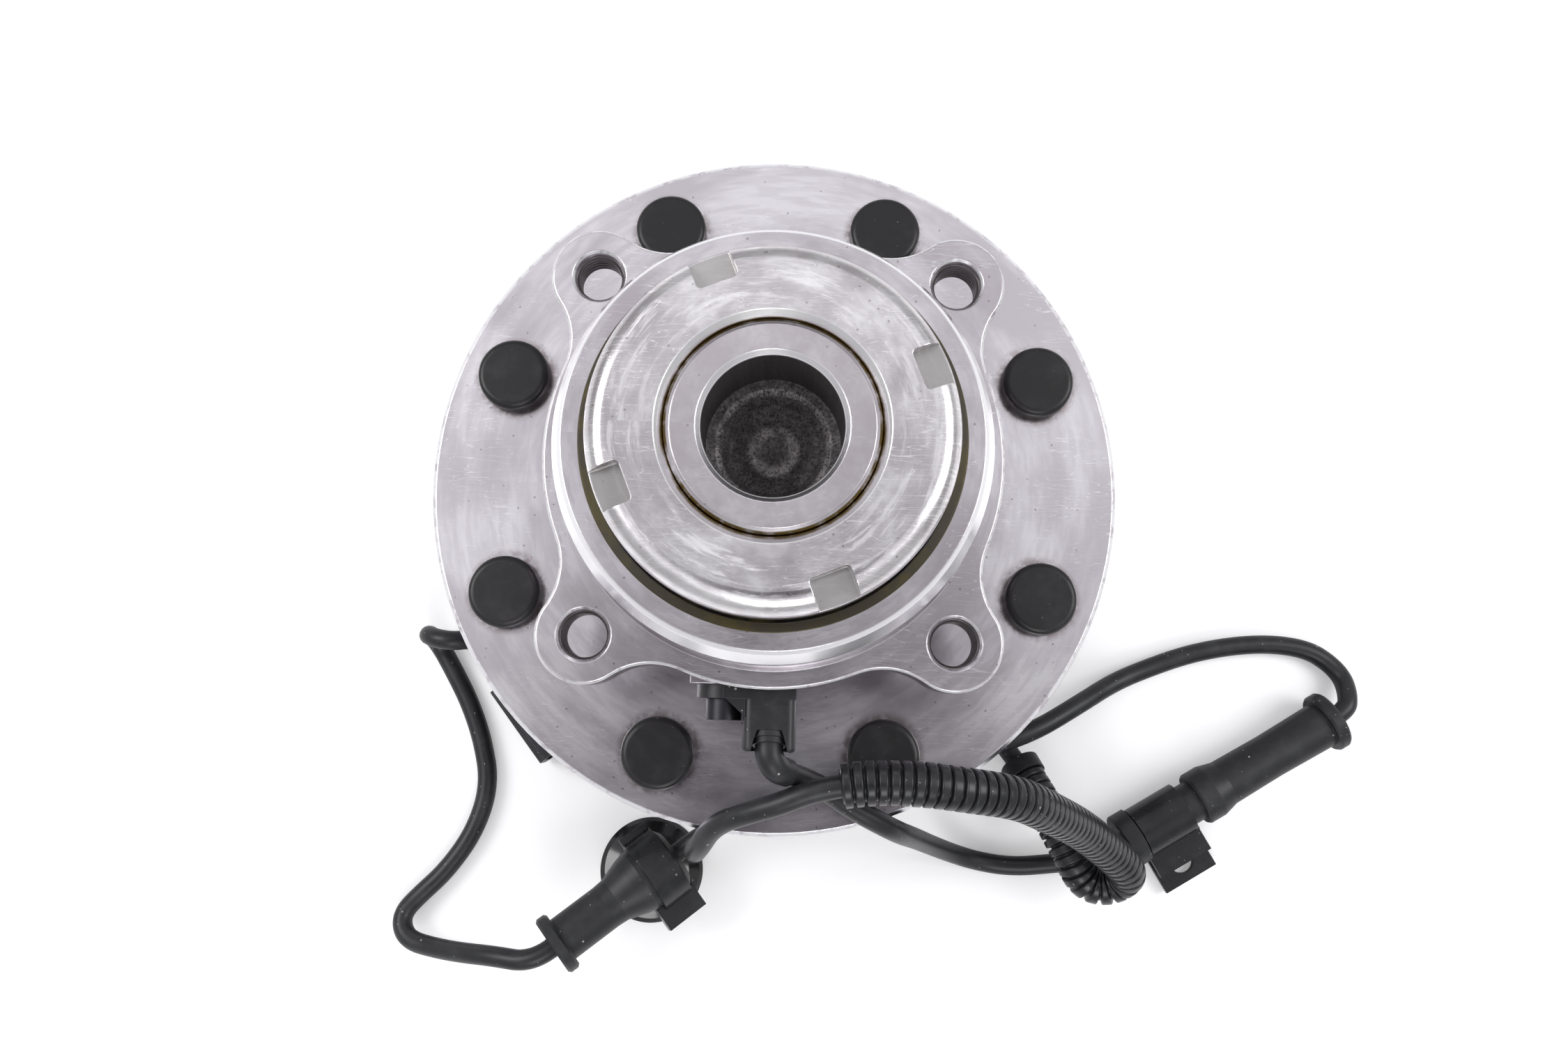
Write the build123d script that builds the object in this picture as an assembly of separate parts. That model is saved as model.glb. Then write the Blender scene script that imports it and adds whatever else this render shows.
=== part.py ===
"""Wheel hub bearing unit for a heavy pickup: flanged hub, double-row tapered
bearing, tone ring, slotted ring nut, wheel-speed sensor and its cable harness.

Millimetres.  +Z is the hinge axis and points inboard, to the steering knuckle.
The origin is on that axis, in the plane of the barrel's open end.
"""
import os
from math import cos, hypot, pi, radians, sin, sqrt, tan

from build123d import *

# ---------------------------------------------------------------- hub forging
BARREL_LENGTH = 53.0
BARREL_RADIUS = 58.2
BARREL_MOUTH_RADIUS = 46.0
BARREL_ROOT_RADIUS = 38.0
HUB_FLANGE_THICKNESS = 12.0
HUB_FLANGE_RADIUS = 99.2
SPINDLE_SEAT_RADIUS = 27.0
SPINDLE_THREAD_RADIUS = 25.0
SPINDLE_CORE_RADIUS = 16.0
SPINDLE_BORE_RADIUS = 16.45
SPINDLE_BORE_DEPTH = 24.5
SPINDLE_DISH_RADIUS = 14.0
SPINDLE_DISH_DEPTH = 8.0
SPINDLE_WEB = 14.0
SHOULDER_HEIGHT = 1.0
SHOULDER_RADIUS = 41.0
EDGE = 1.0
CORE_TOP_BEVEL = 4.0
CORE_TOP_BEVEL_HEIGHT = 5.0
CORE_FLARE_RADIUS = 26.0
CORE_FLARE_TOP = 14.0
CORE_FLARE_FOOT = 2.0
BARREL_ROOT_FILL = 8.0
BARREL_MOUTH_BEVEL = 1.5
BARREL_MOUTH_BEVEL_HEIGHT = 3.0
BARREL_BEVEL = 1.5
BARREL_RELIEF = 0.6
BARREL_RELIEF_START = 3.0
SHOULDER_SLOPE = 2.0
SPINDLE_END_BEVEL = 1.5
SPINDLE_END_BEVEL_HEIGHT = 1.2
SPINDLE_BORE_BEVEL = 1.25
DISH_KNEE_RADIUS = 11.2
DISH_KNEE_DEPTH = 4.8
DISH_FLOOR_RADIUS = 6.3

# ---------------------------------------------------------------- wheel studs
STUD_COUNT = 8
STUD_EDGE_DISTANCE = 16.65
STUD_FIRST_ANGLE = 23.1
STUD_RADIUS = 7.0
STUD_KNURL_RADIUS = 7.4
STUD_REACH = 43.0
STUD_HEAD_RADIUS = 10.25
STUD_HEAD_HEIGHT = 5.8
STUD_HEAD_ROUNDING = 1.9
STUD_TIP_CHAMFER = 1.5

# -------------------------------------------------- double-row tapered bearing
ROLLER_COUNT = 19
ROLLER_CIRCLE_RADIUS = 38.0
ROLLER_RADIUS = 4.8
ROLLER_LENGTH = 15.0
ROLLER_AXIS_ANGLE = 13.5
ROLLER_HALF_TAPER = 1.76
ROLLER_CLEARANCE = 0.3
ROW_ONE_MIDDLE = 17.2
ROW_TWO_MIDDLE = 51.5
RIB_CLEARANCE = 0.35
RIB_RISE = 4.0
LAND_RADIUS = 42.3
LAND_CLEARANCE = 0.6
CAGE_OFFSET = 1.5
CAGE_THICKNESS = 1.2
CAGE_OVERHANG = 1.8
CAGE_POCKET_CLEARANCE = 0.35
CAGE_RIM_DROP = 1.5
CONE_BEVEL = 0.7
CONE_NOSE_STEP = 1.0
ROLLER_BEVEL = 0.5

# ------------------------------------------------------------------ tone ring
TONE_RING_START = 27.3
TONE_RING_WIDTH = 7.4
TONE_RING_RADIUS = 39.5
TONE_TOOTH_COUNT = 48
TONE_TOOTH_HEIGHT = 2.6
TONE_RIM_WIDTH = 0.8

# ----------------------------------------------------------------- outer ring
OUTER_RING_START = 2.5
OUTER_RING_END = 72.8
OUTER_BODY_RADIUS = 54.5
OUTER_BORE_RADIUS = 45.95
OUTER_WAIST_RADIUS = 40.8
MOUNT_FLANGE_START = 37.0
MOUNT_FLANGE_THICKNESS = 11.8
MOUNT_WAIST_STEP = 4.3
MOUNT_HOLE_SPACING = 92.6
MOUNT_HOLE_RADIUS = 6.25
MOUNT_HOLE_CHAMFER = 0.75
MOUNT_EAR_RADIUS = 12.35
MOUNT_EAR_BLEND = 18.1
PILOT_STEP = 1.2
PILOT_HEIGHT = 17.8
PILOT_NOSE_STEP = 3.0
PILOT_NOSE_BEVEL = 1.2
OUTER_BODY_BEVEL = 1.5
OUTER_BODY_FLARE = 2.0
PILOT_FOOT = 1.5
MOUNT_RIM_BEVEL = 0.6
SENSOR_BOSS_MARGIN = 8.5
SENSOR_BOSS_DROP = 13.0
PROBE_HOLE_CLEARANCE = 0.1
SEAL_WIDTH = 4.9
SEAL_CASE_THICKNESS = 1.2
SEAL_LIP_CLEARANCE = 0.25
SEAL_LIP_ROOT = 1.2
SEAL_LIP_NECK = 0.9
SEAL_LIP_EDGE = 0.8
SEAL_WEB_GAP = 1.6

# ------------------------------------------------------------------- ring nut
INNER_RING_END = 77.0
NUT_FLANGE_RADIUS = 43.4
NUT_FLANGE_THICKNESS = 10.0
NUT_ROUNDING = 5.5
NUT_COLLAR_RADIUS = 34.0
NUT_COLLAR_HEIGHT = 8.7
NUT_COLLAR_CLEARANCE = 0.5
THREAD_RUNOUT = 1.0
NUT_SLOT_COUNT = 4
NUT_SLOT_FIRST_ANGLE = 22.0
NUT_SLOT_WIDTH = 10.0
NUT_SLOT_FLOOR_RADIUS = 35.5
THREAD_CLEARANCE = 0.05
NUT_BORE_BEVEL = 2.0
NUT_SLOT_DEPTH = 4.5
NUT_EDGE_BEVEL = 0.5
NUT_SLOT_CORNER = 1.2
SPINDLE_END_DROP = 0.5

# --------------------------------------------------------- wheel-speed sensor
SENSOR_X = 0.5
SENSOR_AXIS_HEIGHT = 30.9
SENSOR_PROBE_RADIUS = 4.4
SENSOR_AIR_GAP = 0.8
SENSOR_BOSS_HEIGHT = 2.9
SENSOR_PLATE_THICKNESS = 3.7
SENSOR_PLATE_HEIGHT = 17.0
SENSOR_BODY_WIDTH = 13.6
SENSOR_BODY_HEIGHT = 16.0
SENSOR_BODY_REACH = 13.5
SENSOR_SCREW_OFFSET = 12.1
SENSOR_SCREW_RADIUS = 3.0
SENSOR_SCREW_HEAD_RADIUS = 4.7
SENSOR_SCREW_HEAD_HEIGHT = 5.6
SENSOR_SCREW_DEPTH = 8.0
BUSHING_WALL = 1.3
O_RING_SECTION = 0.8
O_RING_PLACE = 4.0
SENSOR_SCREW_DROP = 3.5
SENSOR_EYE_RADIUS = 7.2
SENSOR_BODY_CORNER = 2.2
SENSOR_GUSSET_REACH = 4.6
SENSOR_GUSSET_OVERLAP = 0.5
SENSOR_GUSSET_THICKNESS = 2.3
SENSOR_GUSSET_DROP = 2.7
SCREW_HOLE_CLEARANCE = 0.1
SCREW_SOCKET_RADIUS = 2.9
SCREW_SOCKET_DEPTH = 3.0
BOOT_COLLAR_RADIUS = 4.9
BOOT_STEP_RADIUS = 4.4
BOOT_COLLAR_LENGTH = 1.5
BOOT_ELBOW_RADIUS = 3.7
BOOT_BEND_RADIUS = 4.6
BOOT_RECESS_RADIUS = 5.6

# -------------------------------------------------------------------- harness
CABLE_RADIUS = 3.1
CONDUIT_RADIUS = 5.9
CONDUIT_BORE_RADIUS = 4.2
RIM_GROMMET_LENGTH = 5.0
FLOOR_GAP = 0.3
RIGHT_CLIP_SEAT_RADIUS = 7.0
LEFT_CLIP_SEAT_RADIUS = 10.3
CLIP_CLEARANCE = 0.05
CLIP_BAND_THICKNESS = 1.6
CLIP_BUTTON_DROP = 0.4
CLIP_BUTTON_PLACE = 6.75
CLIP_STEM_RADIUS = 3.5
CLIP_STEM_LENGTH = 4.0
RIGHT_BAND_THICKNESS = 1.2
RIGHT_BAND = (6.0, 23.0)
RIGHT_BRACKET = (5.6, 24.4)
RIGHT_UPPER_LIP_REACH = 7.6
RIGHT_LOWER_LIP_REACH = 14.0
RIGHT_LIP_THICKNESS = 2.0
RIGHT_LOWER_LIP_HEIGHT = 1.4
RIGHT_UPPER_LIP_HEIGHT = 7.0
RIGHT_CLIP_HOLE_RADIUS = 3.8
RIGHT_CLIP_HOLE_PLACE = 15.0
LEFT_BAND = (2.0, 11.5)
LATCH_OVERLAP = 3.5
LATCH_REACH = 6.0
LATCH_SPAN = (-8.5, -0.5)
LATCH_LENGTH = (0.5, 14.0)
LATCH_WINDOW_REACH = (0.6, 4.4)
LATCH_WINDOW_SPAN = (-6.4, -2.6)
LATCH_WINDOW_DEPTH = 5.0
LEAD_IN_TAB = (1.5, 2.0)
CONNECTOR_LENGTH = 36.0
CONNECTOR_WIDTH = 16.0
CONNECTOR_HEIGHT = 14.0
CONNECTOR_WALL = 1.8
CONNECTOR_CORNER = 2.5
CONNECTOR_MOUTH_CORNER = 1.5
CONNECTOR_MOUTH_DEPTH = 15.0
CONNECTOR_NECK_LENGTH = 8.0
CONNECTOR_NECK_STEP = 0.6
CONNECTOR_SEAL_RADIUS = 5.0
CONNECTOR_SEAL_LENGTH = 4.0
CONNECTOR_LATCH = (14.0, 24.0)
CONNECTOR_LATCH_WIDTH = 6.0
CONNECTOR_LATCH_HEIGHT = 1.2
CONNECTOR_LATCH_OVERLAP = 0.5
TERMINAL_THICKNESS = 0.8
TERMINAL_WIDTH = 2.4
TERMINAL_LENGTH = 11.0
TERMINAL_ROOT = 2.0
TERMINAL_PLACES = (-2.6, 2.6)
LOCK_CLEARANCE = 0.3
LOCK_THICKNESS = 3.0
LOCK_CORNER = 1.2
LOCK_SLOT_CLEARANCE = 0.2
RUN_SHARE = 0.45

# ------------------------------------------------------------- derived heights
WHEEL_FACE_Z = BARREL_LENGTH
FLANGE_FACE_Z = WHEEL_FACE_Z + HUB_FLANGE_THICKNESS
STUD_CIRCLE_RADIUS = HUB_FLANGE_RADIUS - STUD_EDGE_DISTANCE
MOUNT_FACE_Z = FLANGE_FACE_Z + MOUNT_FLANGE_START + MOUNT_FLANGE_THICKNESS
NUT_TOP_Z = FLANGE_FACE_Z + INNER_RING_END + NUT_FLANGE_THICKNESS
SPINDLE_END_Z = NUT_TOP_Z - SPINDLE_END_DROP
SENSOR_Z = FLANGE_FACE_Z + SENSOR_AXIS_HEIGHT
SENSOR_SEAT_Y = -(OUTER_BODY_RADIUS + SENSOR_BOSS_HEIGHT)
MOUNT_WAIST_RADIUS = OUTER_BODY_RADIUS + MOUNT_WAIST_STEP
PILOT_RADIUS = OUTER_BODY_RADIUS - PILOT_STEP
PILOT_NOSE_RADIUS = PILOT_RADIUS - PILOT_NOSE_STEP

# The boot's centre line: out of the sensor's front, then an elbow down toward the cable.
BOOT_ROUTE = [(0.6, -70.2, 96.4), (0.6, -78.2, 98.9), (5.4, -79.9, 93.3)]

# Cable routes: the tube's centre line, corner by corner.
SENSOR_ROUTE_TAIL = [
    (9.2, -81.25, 88.86), (13.2, -83.1, 84.4), (17.6, -85.7, 80.6), (22.9, -89.3, 77.8), (29.1, -92.7, 75.5),
    (35.2, -95.8, 71.0), (39.5, -98.1, 60.0), (43.3, -100.1, 46.0), (50.5, -104.1, 23.0), (58.5, -107.8, 9.0),
    (67.8, -110.9, 3.6), (79.5, -112.6, 3.1), (92.8, -111.1, 4.6), (105.32, -108.74, 10.0),
]
RIGHT_SLEEVE_START = (113.9, -103.6, 10.0)
RIGHT_SLEEVE_END = (182.9, -62.3, 10.0)
LOOP_ROUTE = [
    (187.7, -59.42, 10.0), (189.0, -54.8, 8.2), (189.0, -49.0, 4.6), (185.1, -44.0, 3.1), (178.1, -39.8, 3.1),
    (166.3, -38.2, 3.1), (152.8, -39.2, 3.1), (138.3, -42.3, 3.1), (124.2, -47.5, 3.1), (112.6, -52.5, 5.0),
    (100.0, -59.8, 12.0), (83.2, -69.4, 18.0), (67.0, -74.5, 18.0), (53.3, -89.6, 8.0), (37.0, -87.6, 3.1),
    (26.8, -74.6, 3.1), (28.6, -58.3, 3.1), (41.5, -47.9, 3.1), (57.8, -49.6, 3.1), (69.0, -63.5, 3.1),
    (80.0, -77.7, 6.2),
]
CONDUIT_ROUTE = [
    (83.6, -83.3, 9.0), (89.5, -95.0, 17.0), (94.6, -105.2, 20.5), (99.5, -114.6, 18.5), (105.5, -116.4, 18.6),
    (110.8, -114.1, 21.0), (112.0, -110.4, 26.0), (102.6, -103.0, 37.0), (90.6, -95.4, 53.0),
    (78.5, -90.1, 70.0), (67.3, -85.4, 84.0), (53.8, -83.5, 92.0), (41.4, -81.9, 95.0), (29.4, -81.7, 95.5),
    (19.6, -82.8, 95.0),
]
DRAPE_ROUTE = [
    (10.8, -84.9, 94.5), (3.6, -88.1, 92.5), (-5.0, -90.9, 88.5), (-13.9, -94.6, 81.5), (-19.0, -103.0, 70.0),
    (-20.6, -104.6, 54.0), (-19.0, -103.3, 38.0), (-16.5, -101.3, 25.0), (-21.9, -104.4, 17.1),
]
LEFT_SLEEVE_START = (-28.73, -109.73, 19.0)
LEFT_SLEEVE_END = (-64.09, -136.79, 29.3)

# Sleeve outlines: (distance, radius) from the start, then the end flange's counted back from the end.
RIGHT_SLEEVE_OUTLINE = [
    (0, 8.4), (0.6, 9.0), (5.5, 9.0), (5.5, 7.0), (23.5, 7.0), (23.5, 6.6), (27.5, 6.6), (27.5, 8.1),
    (28.3, 8.7), (33.5, 8.7), (38.5, 7.4), (56.0, 7.1),
]
RIGHT_FLANGE_OUTLINE = [(4.2, 7.5), (4.2, 9.1), (3.4, 9.7), (0.8, 9.7), (0, 9.1)]
LEFT_SLEEVE_OUTLINE = [(0, 8.1), (1.5, 10.3), (13.0, 10.3), (16.5, 9.4), (22.5, 7.3), (26.0, 7.0)]
LEFT_FLANGE_OUTLINE = [(4.0, 7.0), (4.0, 8.7), (3.2, 9.5), (0.8, 9.5), (0, 8.7)]
# The umbrella's section: (radius, height) from its crown round the edge and back underneath.
BUTTON_OUTLINE = [
    (0, 0), (5.81, -0.4), (11.62, -1.7), (15.272, -3.4), (16.6, -4.6), (15.0, -4.6), (9.96, -2.9), (0, -2.0),
]
LEAD_ROUTE = [
    (-69.66, -141.05, 30.9), (-82.23, -140.09, 27.0), (-93.63, -140.59, 20.0), (-103.42, -140.52, 13.5),
    (-112.43, -139.36, 9.0), (-115.99, -135.78, 6.8), (-116.23, -131.07, 5.2), (-112.02, -126.1, 3.8),
    (-103.5, -117.9, 3.1), (-95.0, -105.0, 3.1), (-91.2, -90.3, 3.1), (-94.3, -76.0, 3.1), (-99.3, -63.6, 3.1),
    (-105.5, -52.8, 3.1), (-109.6, -46.2, 3.1), (-111.9, -42.4, 7.2), (-111.9, -42.4, 13.0),
    (-108.2, -43.7, 17.0), (-102.4, -44.5, 18.0), (-97.3, -43.6, 14.5), (-93.0, -44.8, 7.3),
]
CONNECTOR_REAR = (-89.3, -49.5, FLOOR_GAP + 14.0 / 2)
CONNECTOR_DIRECTION = (0.615, -0.788, 0.0)


# ------------------------------------------------------------------- helpers
def turned(points):
    """A solid of revolution about Z from (radius, height) corners."""
    return revolve(make_face(Polyline([(r, 0, z) for r, z in points], close=True)), Axis.Z)


def bar(radius, z_low, z_high, x=0.0, y=0.0, chamfer_size=0.0):
    """An upright round bar, its lower edge bevelled."""
    solid = Pos(x, y, z_low) * extrude(Circle(radius), z_high - z_low)
    if chamfer_size:
        solid = chamfer(solid.edges().sort_by(Axis.Z)[0], chamfer_size)
    return solid


def box_between(low, high):
    """A box from its two far corners."""
    size = [abs(b - a) for a, b in zip(low, high)]
    middle = [(a + b) / 2 for a, b in zip(low, high)]
    return Pos(*middle) * Box(*size)


def along(start, end, sections):
    """A body of revolution along the line start-end from (distance, radius) sections."""
    axis = Vector(*end) - Vector(*start)
    corners = [(0, sections[0][0])] + [(r, s) for s, r in sections] + [(0, sections[-1][0])]
    return Plane(origin=start, z_dir=axis) * turned(corners)


def ring_along(start, end, s_low, s_high, inner, outer):
    """A plain ring on the line start-end, between two distances along it."""
    axis = Vector(*end) - Vector(*start)
    section = [(inner, s_low), (outer, s_low), (outer, s_high), (inner, s_high)]
    return Plane(origin=start, z_dir=axis) * turned(section)


def row_point(side, along_axis, offset):
    """(radius, height) of a point given in a roller's own axes."""
    angle = radians(ROLLER_AXIS_ANGLE)
    middle = FLANGE_FACE_Z + (ROW_TWO_MIDDLE if side > 0 else ROW_ONE_MIDDLE)
    radius = ROLLER_CIRCLE_RADIUS + along_axis * sin(angle) + offset * cos(angle)
    return radius, middle + side * (along_axis * cos(angle) - offset * sin(angle))


def race_point(side, along_axis, sign):
    """A point of the cup's (sign +1) or the cone's (sign -1) raceway line."""
    taper = tan(radians(ROLLER_HALF_TAPER))
    return row_point(side, along_axis, sign * (ROLLER_RADIUS + ROLLER_CLEARANCE + along_axis * taper))


def race_radius_at(side, radius, sign):
    """Height at which a raceway line reaches the given radius."""
    (r0, z0), (r1, z1) = race_point(side, 0, sign), race_point(side, 1, sign)
    return z0 + (radius - r0) * (z1 - z0) / (r1 - r0)


def corner_radii(points):
    """Each corner's bend: as large as its two straight runs allow."""
    radii = []
    for before, corner, after in zip(points, points[1:], points[2:]):
        one = Vector(*corner) - Vector(*before)
        two = Vector(*after) - Vector(*corner)
        half_turn = radians(one.get_angle(two)) / 2
        radii.append(RUN_SHARE * min(one.length, two.length) / tan(half_turn))
    return radii


def cable_path(points):
    return FilletPolyline(*points, radius=corner_radii(points))


def tube(points, radius, bore=0.0):
    """A round tube along a route of straight runs and tangent arcs."""
    path = cable_path(points)
    section = Circle(radius) - Circle(bore) if bore else Circle(radius)
    start = Plane(origin=path @ 0, z_dir=path % 0)
    solid = sweep(start * section, path=path)
    print(f"  length {path.length:.1f}, volume {solid.volume:.0f}, section x length "
          f"{pi * (radius ** 2 - bore ** 2) * path.length:.0f}, radii",
          " ".join(f"{r:.1f}" for r in corner_radii(points)))
    return solid


# --------------------------------------------------------------- hub and studs
def stud_places():
    for k in range(STUD_COUNT):
        angle = radians(STUD_FIRST_ANGLE + 360 / STUD_COUNT * k)
        yield STUD_CIRCLE_RADIUS * cos(angle), STUD_CIRCLE_RADIUS * sin(angle)


def hub_spindle():
    thread_start = FLANGE_FACE_Z + INNER_RING_END - NUT_COLLAR_HEIGHT - NUT_COLLAR_CLEARANCE
    seat_end = thread_start - THREAD_RUNOUT
    bore_floor = SPINDLE_END_Z - SPINDLE_BORE_DEPTH
    dish_floor = bore_floor - SPINDLE_DISH_DEPTH
    core_top = dish_floor - SPINDLE_WEB
    body = turned([
        (0, core_top), (SPINDLE_CORE_RADIUS - CORE_TOP_BEVEL, core_top),
        (SPINDLE_CORE_RADIUS, core_top - CORE_TOP_BEVEL_HEIGHT),
        (SPINDLE_CORE_RADIUS, FLANGE_FACE_Z + CORE_FLARE_TOP),
        (CORE_FLARE_RADIUS, FLANGE_FACE_Z - CORE_FLARE_FOOT),
        (BARREL_ROOT_RADIUS, WHEEL_FACE_Z - BARREL_ROOT_FILL),
        (BARREL_MOUTH_RADIUS - BARREL_MOUTH_BEVEL, BARREL_MOUTH_BEVEL_HEIGHT), (BARREL_MOUTH_RADIUS, 0),
        (BARREL_RADIUS - BARREL_BEVEL, 0), (BARREL_RADIUS, BARREL_BEVEL),
        (BARREL_RADIUS, WHEEL_FACE_Z - BARREL_RELIEF_START),
        (BARREL_RADIUS - BARREL_RELIEF, WHEEL_FACE_Z - BARREL_RELIEF_START + BARREL_RELIEF),
        (BARREL_RADIUS - BARREL_RELIEF, WHEEL_FACE_Z),
        (HUB_FLANGE_RADIUS - EDGE, WHEEL_FACE_Z), (HUB_FLANGE_RADIUS, WHEEL_FACE_Z + EDGE),
        (HUB_FLANGE_RADIUS, FLANGE_FACE_Z - EDGE), (HUB_FLANGE_RADIUS - EDGE, FLANGE_FACE_Z),
        (SHOULDER_RADIUS + SHOULDER_SLOPE, FLANGE_FACE_Z), (SHOULDER_RADIUS, FLANGE_FACE_Z + SHOULDER_HEIGHT),
        (SPINDLE_SEAT_RADIUS, FLANGE_FACE_Z + SHOULDER_HEIGHT), (SPINDLE_SEAT_RADIUS, seat_end),
        (SPINDLE_THREAD_RADIUS, thread_start),
        (SPINDLE_THREAD_RADIUS, SPINDLE_END_Z - SPINDLE_END_BEVEL_HEIGHT),
        (SPINDLE_THREAD_RADIUS - SPINDLE_END_BEVEL, SPINDLE_END_Z),
        (SPINDLE_BORE_RADIUS + SPINDLE_BORE_BEVEL, SPINDLE_END_Z),
        (SPINDLE_BORE_RADIUS, SPINDLE_END_Z - SPINDLE_BORE_BEVEL), (SPINDLE_BORE_RADIUS, bore_floor),
        (SPINDLE_DISH_RADIUS, bore_floor), (DISH_KNEE_RADIUS, bore_floor - DISH_KNEE_DEPTH),
        (DISH_FLOOR_RADIUS, dish_floor), (0, dish_floor),
    ])
    for x, y in stud_places():
        body -= bar(STUD_KNURL_RADIUS, WHEEL_FACE_Z - EDGE, FLANGE_FACE_Z + EDGE, x, y)
    return body


def wheel_studs():
    studs = []
    tip = WHEEL_FACE_Z - STUD_REACH
    for x, y in stud_places():
        thread = bar(STUD_RADIUS, tip, WHEEL_FACE_Z, x, y, chamfer_size=STUD_TIP_CHAMFER)
        knurl = bar(STUD_KNURL_RADIUS, WHEEL_FACE_Z, FLANGE_FACE_Z, x, y)
        head = Pos(x, y, FLANGE_FACE_Z) * extrude(Circle(STUD_HEAD_RADIUS), STUD_HEAD_HEIGHT)
        head = fillet(head.edges().sort_by(Axis.Z)[-1], STUD_HEAD_ROUNDING)
        studs.append(thread + knurl + head)
    return Compound(children=studs)


# --------------------------------------------------------------------- bearing
def cone_profile(side, back_face, front_face):
    """Corners of an inner ring, from its bore round by its back face, land, rib and raceway."""
    half = ROLLER_LENGTH / 2
    taper = tan(radians(ROLLER_HALF_TAPER))
    large = race_point(side, half + RIB_CLEARANCE, -1)
    small = race_point(side, -half - RIB_CLEARANCE, -1)
    rib_offset = -(ROLLER_RADIUS + half * taper) + RIB_RISE
    rib = row_point(side, half + RIB_CLEARANCE, rib_offset)
    land_z = row_point(side, half + CAGE_OVERHANG, CAGE_OFFSET)[1] + side * LAND_CLEARANCE
    return [
        (LAND_RADIUS - CONE_BEVEL, back_face), (LAND_RADIUS, back_face - side * CONE_BEVEL),
        (LAND_RADIUS, land_z),
        (rib[0], land_z), rib, large, small, (small[0] + CONE_NOSE_STEP, small[1]),
        (small[0] + CONE_NOSE_STEP, front_face),
    ]


def outboard_inner_ring():
    back = FLANGE_FACE_Z + SHOULDER_HEIGHT
    front = FLANGE_FACE_Z + TONE_RING_START
    corners = cone_profile(-1, back, front)
    return turned([(SPINDLE_SEAT_RADIUS, front), (SPINDLE_SEAT_RADIUS, back)] + corners)


def inboard_inner_ring():
    back = FLANGE_FACE_Z + INNER_RING_END
    front = FLANGE_FACE_Z + TONE_RING_START + TONE_RING_WIDTH
    recess = NUT_COLLAR_RADIUS + NUT_COLLAR_CLEARANCE
    recess_floor = back - NUT_COLLAR_HEIGHT - NUT_COLLAR_CLEARANCE
    corners = cone_profile(+1, back, front)
    seat = SPINDLE_SEAT_RADIUS
    bore = [(seat, front), (seat, recess_floor), (recess, recess_floor), (recess, back)]
    return turned(bore + corners)


def tone_ring():
    low = FLANGE_FACE_Z + TONE_RING_START
    high = low + TONE_RING_WIDTH
    root = TONE_RING_RADIUS - TONE_TOOTH_HEIGHT
    body = turned([
        (SPINDLE_SEAT_RADIUS, low), (root, low + TONE_RIM_WIDTH), (root, high - TONE_RIM_WIDTH),
        (SPINDLE_SEAT_RADIUS, high),
    ])
    pitch = 2 * pi * TONE_RING_RADIUS / TONE_TOOTH_COUNT
    tooth = box_between((root - 0.5, -pitch / 4, low + 2 * TONE_RIM_WIDTH),
                        (TONE_RING_RADIUS, pitch / 4, high - 2 * TONE_RIM_WIDTH))
    teeth = [Rot(0, 0, 360 / TONE_TOOTH_COUNT * k) * tooth for k in range(TONE_TOOTH_COUNT)]
    return body + teeth


def row_rollers(side):
    half = ROLLER_LENGTH / 2
    taper = tan(radians(ROLLER_HALF_TAPER))
    angle = radians(ROLLER_AXIS_ANGLE)
    radius, height = row_point(side, 0, 0)
    axis = (sin(angle), 0, side * cos(angle))
    large = ROLLER_RADIUS + half * taper
    small = ROLLER_RADIUS - half * taper
    shape = turned([
        (0, -half), (small - ROLLER_BEVEL, -half), (small, -half + ROLLER_BEVEL), (large, half - ROLLER_BEVEL),
        (large - ROLLER_BEVEL, half), (0, half),
    ])
    roller = Plane(origin=(radius, 0, height), z_dir=axis) * shape
    return Compound(children=[Rot(0, 0, 360 / ROLLER_COUNT * k) * roller for k in range(ROLLER_COUNT)])


def row_cage(side):
    """A stamped cone with one pocket a roller and an inward rim at its small end."""
    half = ROLLER_LENGTH / 2
    reach = half + CAGE_OVERHANG
    outer = CAGE_OFFSET + CAGE_THICKNESS
    shell = turned([
        row_point(side, -reach, CAGE_OFFSET - CAGE_RIM_DROP), row_point(side, -reach, outer),
        row_point(side, reach, outer),
        row_point(side, reach, CAGE_OFFSET), row_point(side, -reach + CAGE_THICKNESS, CAGE_OFFSET),
        row_point(side, -reach + CAGE_THICKNESS, CAGE_OFFSET - CAGE_RIM_DROP),
    ])
    taper = tan(radians(ROLLER_HALF_TAPER))
    angle = radians(ROLLER_AXIS_ANGLE)
    radius, height = row_point(side, 0, 0)
    gap = CAGE_POCKET_CLEARANCE
    wide = ROLLER_RADIUS + half * taper + gap
    narrow = ROLLER_RADIUS - half * taper + gap
    shape = turned([(0, -half - gap), (narrow, -half - gap), (wide, half + gap), (0, half + gap)])
    pocket = Plane(origin=(radius, 0, height), z_dir=(sin(angle), 0, side * cos(angle))) * shape
    return shell - [Rot(0, 0, 360 / ROLLER_COUNT * k) * pocket for k in range(ROLLER_COUNT)]


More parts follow.
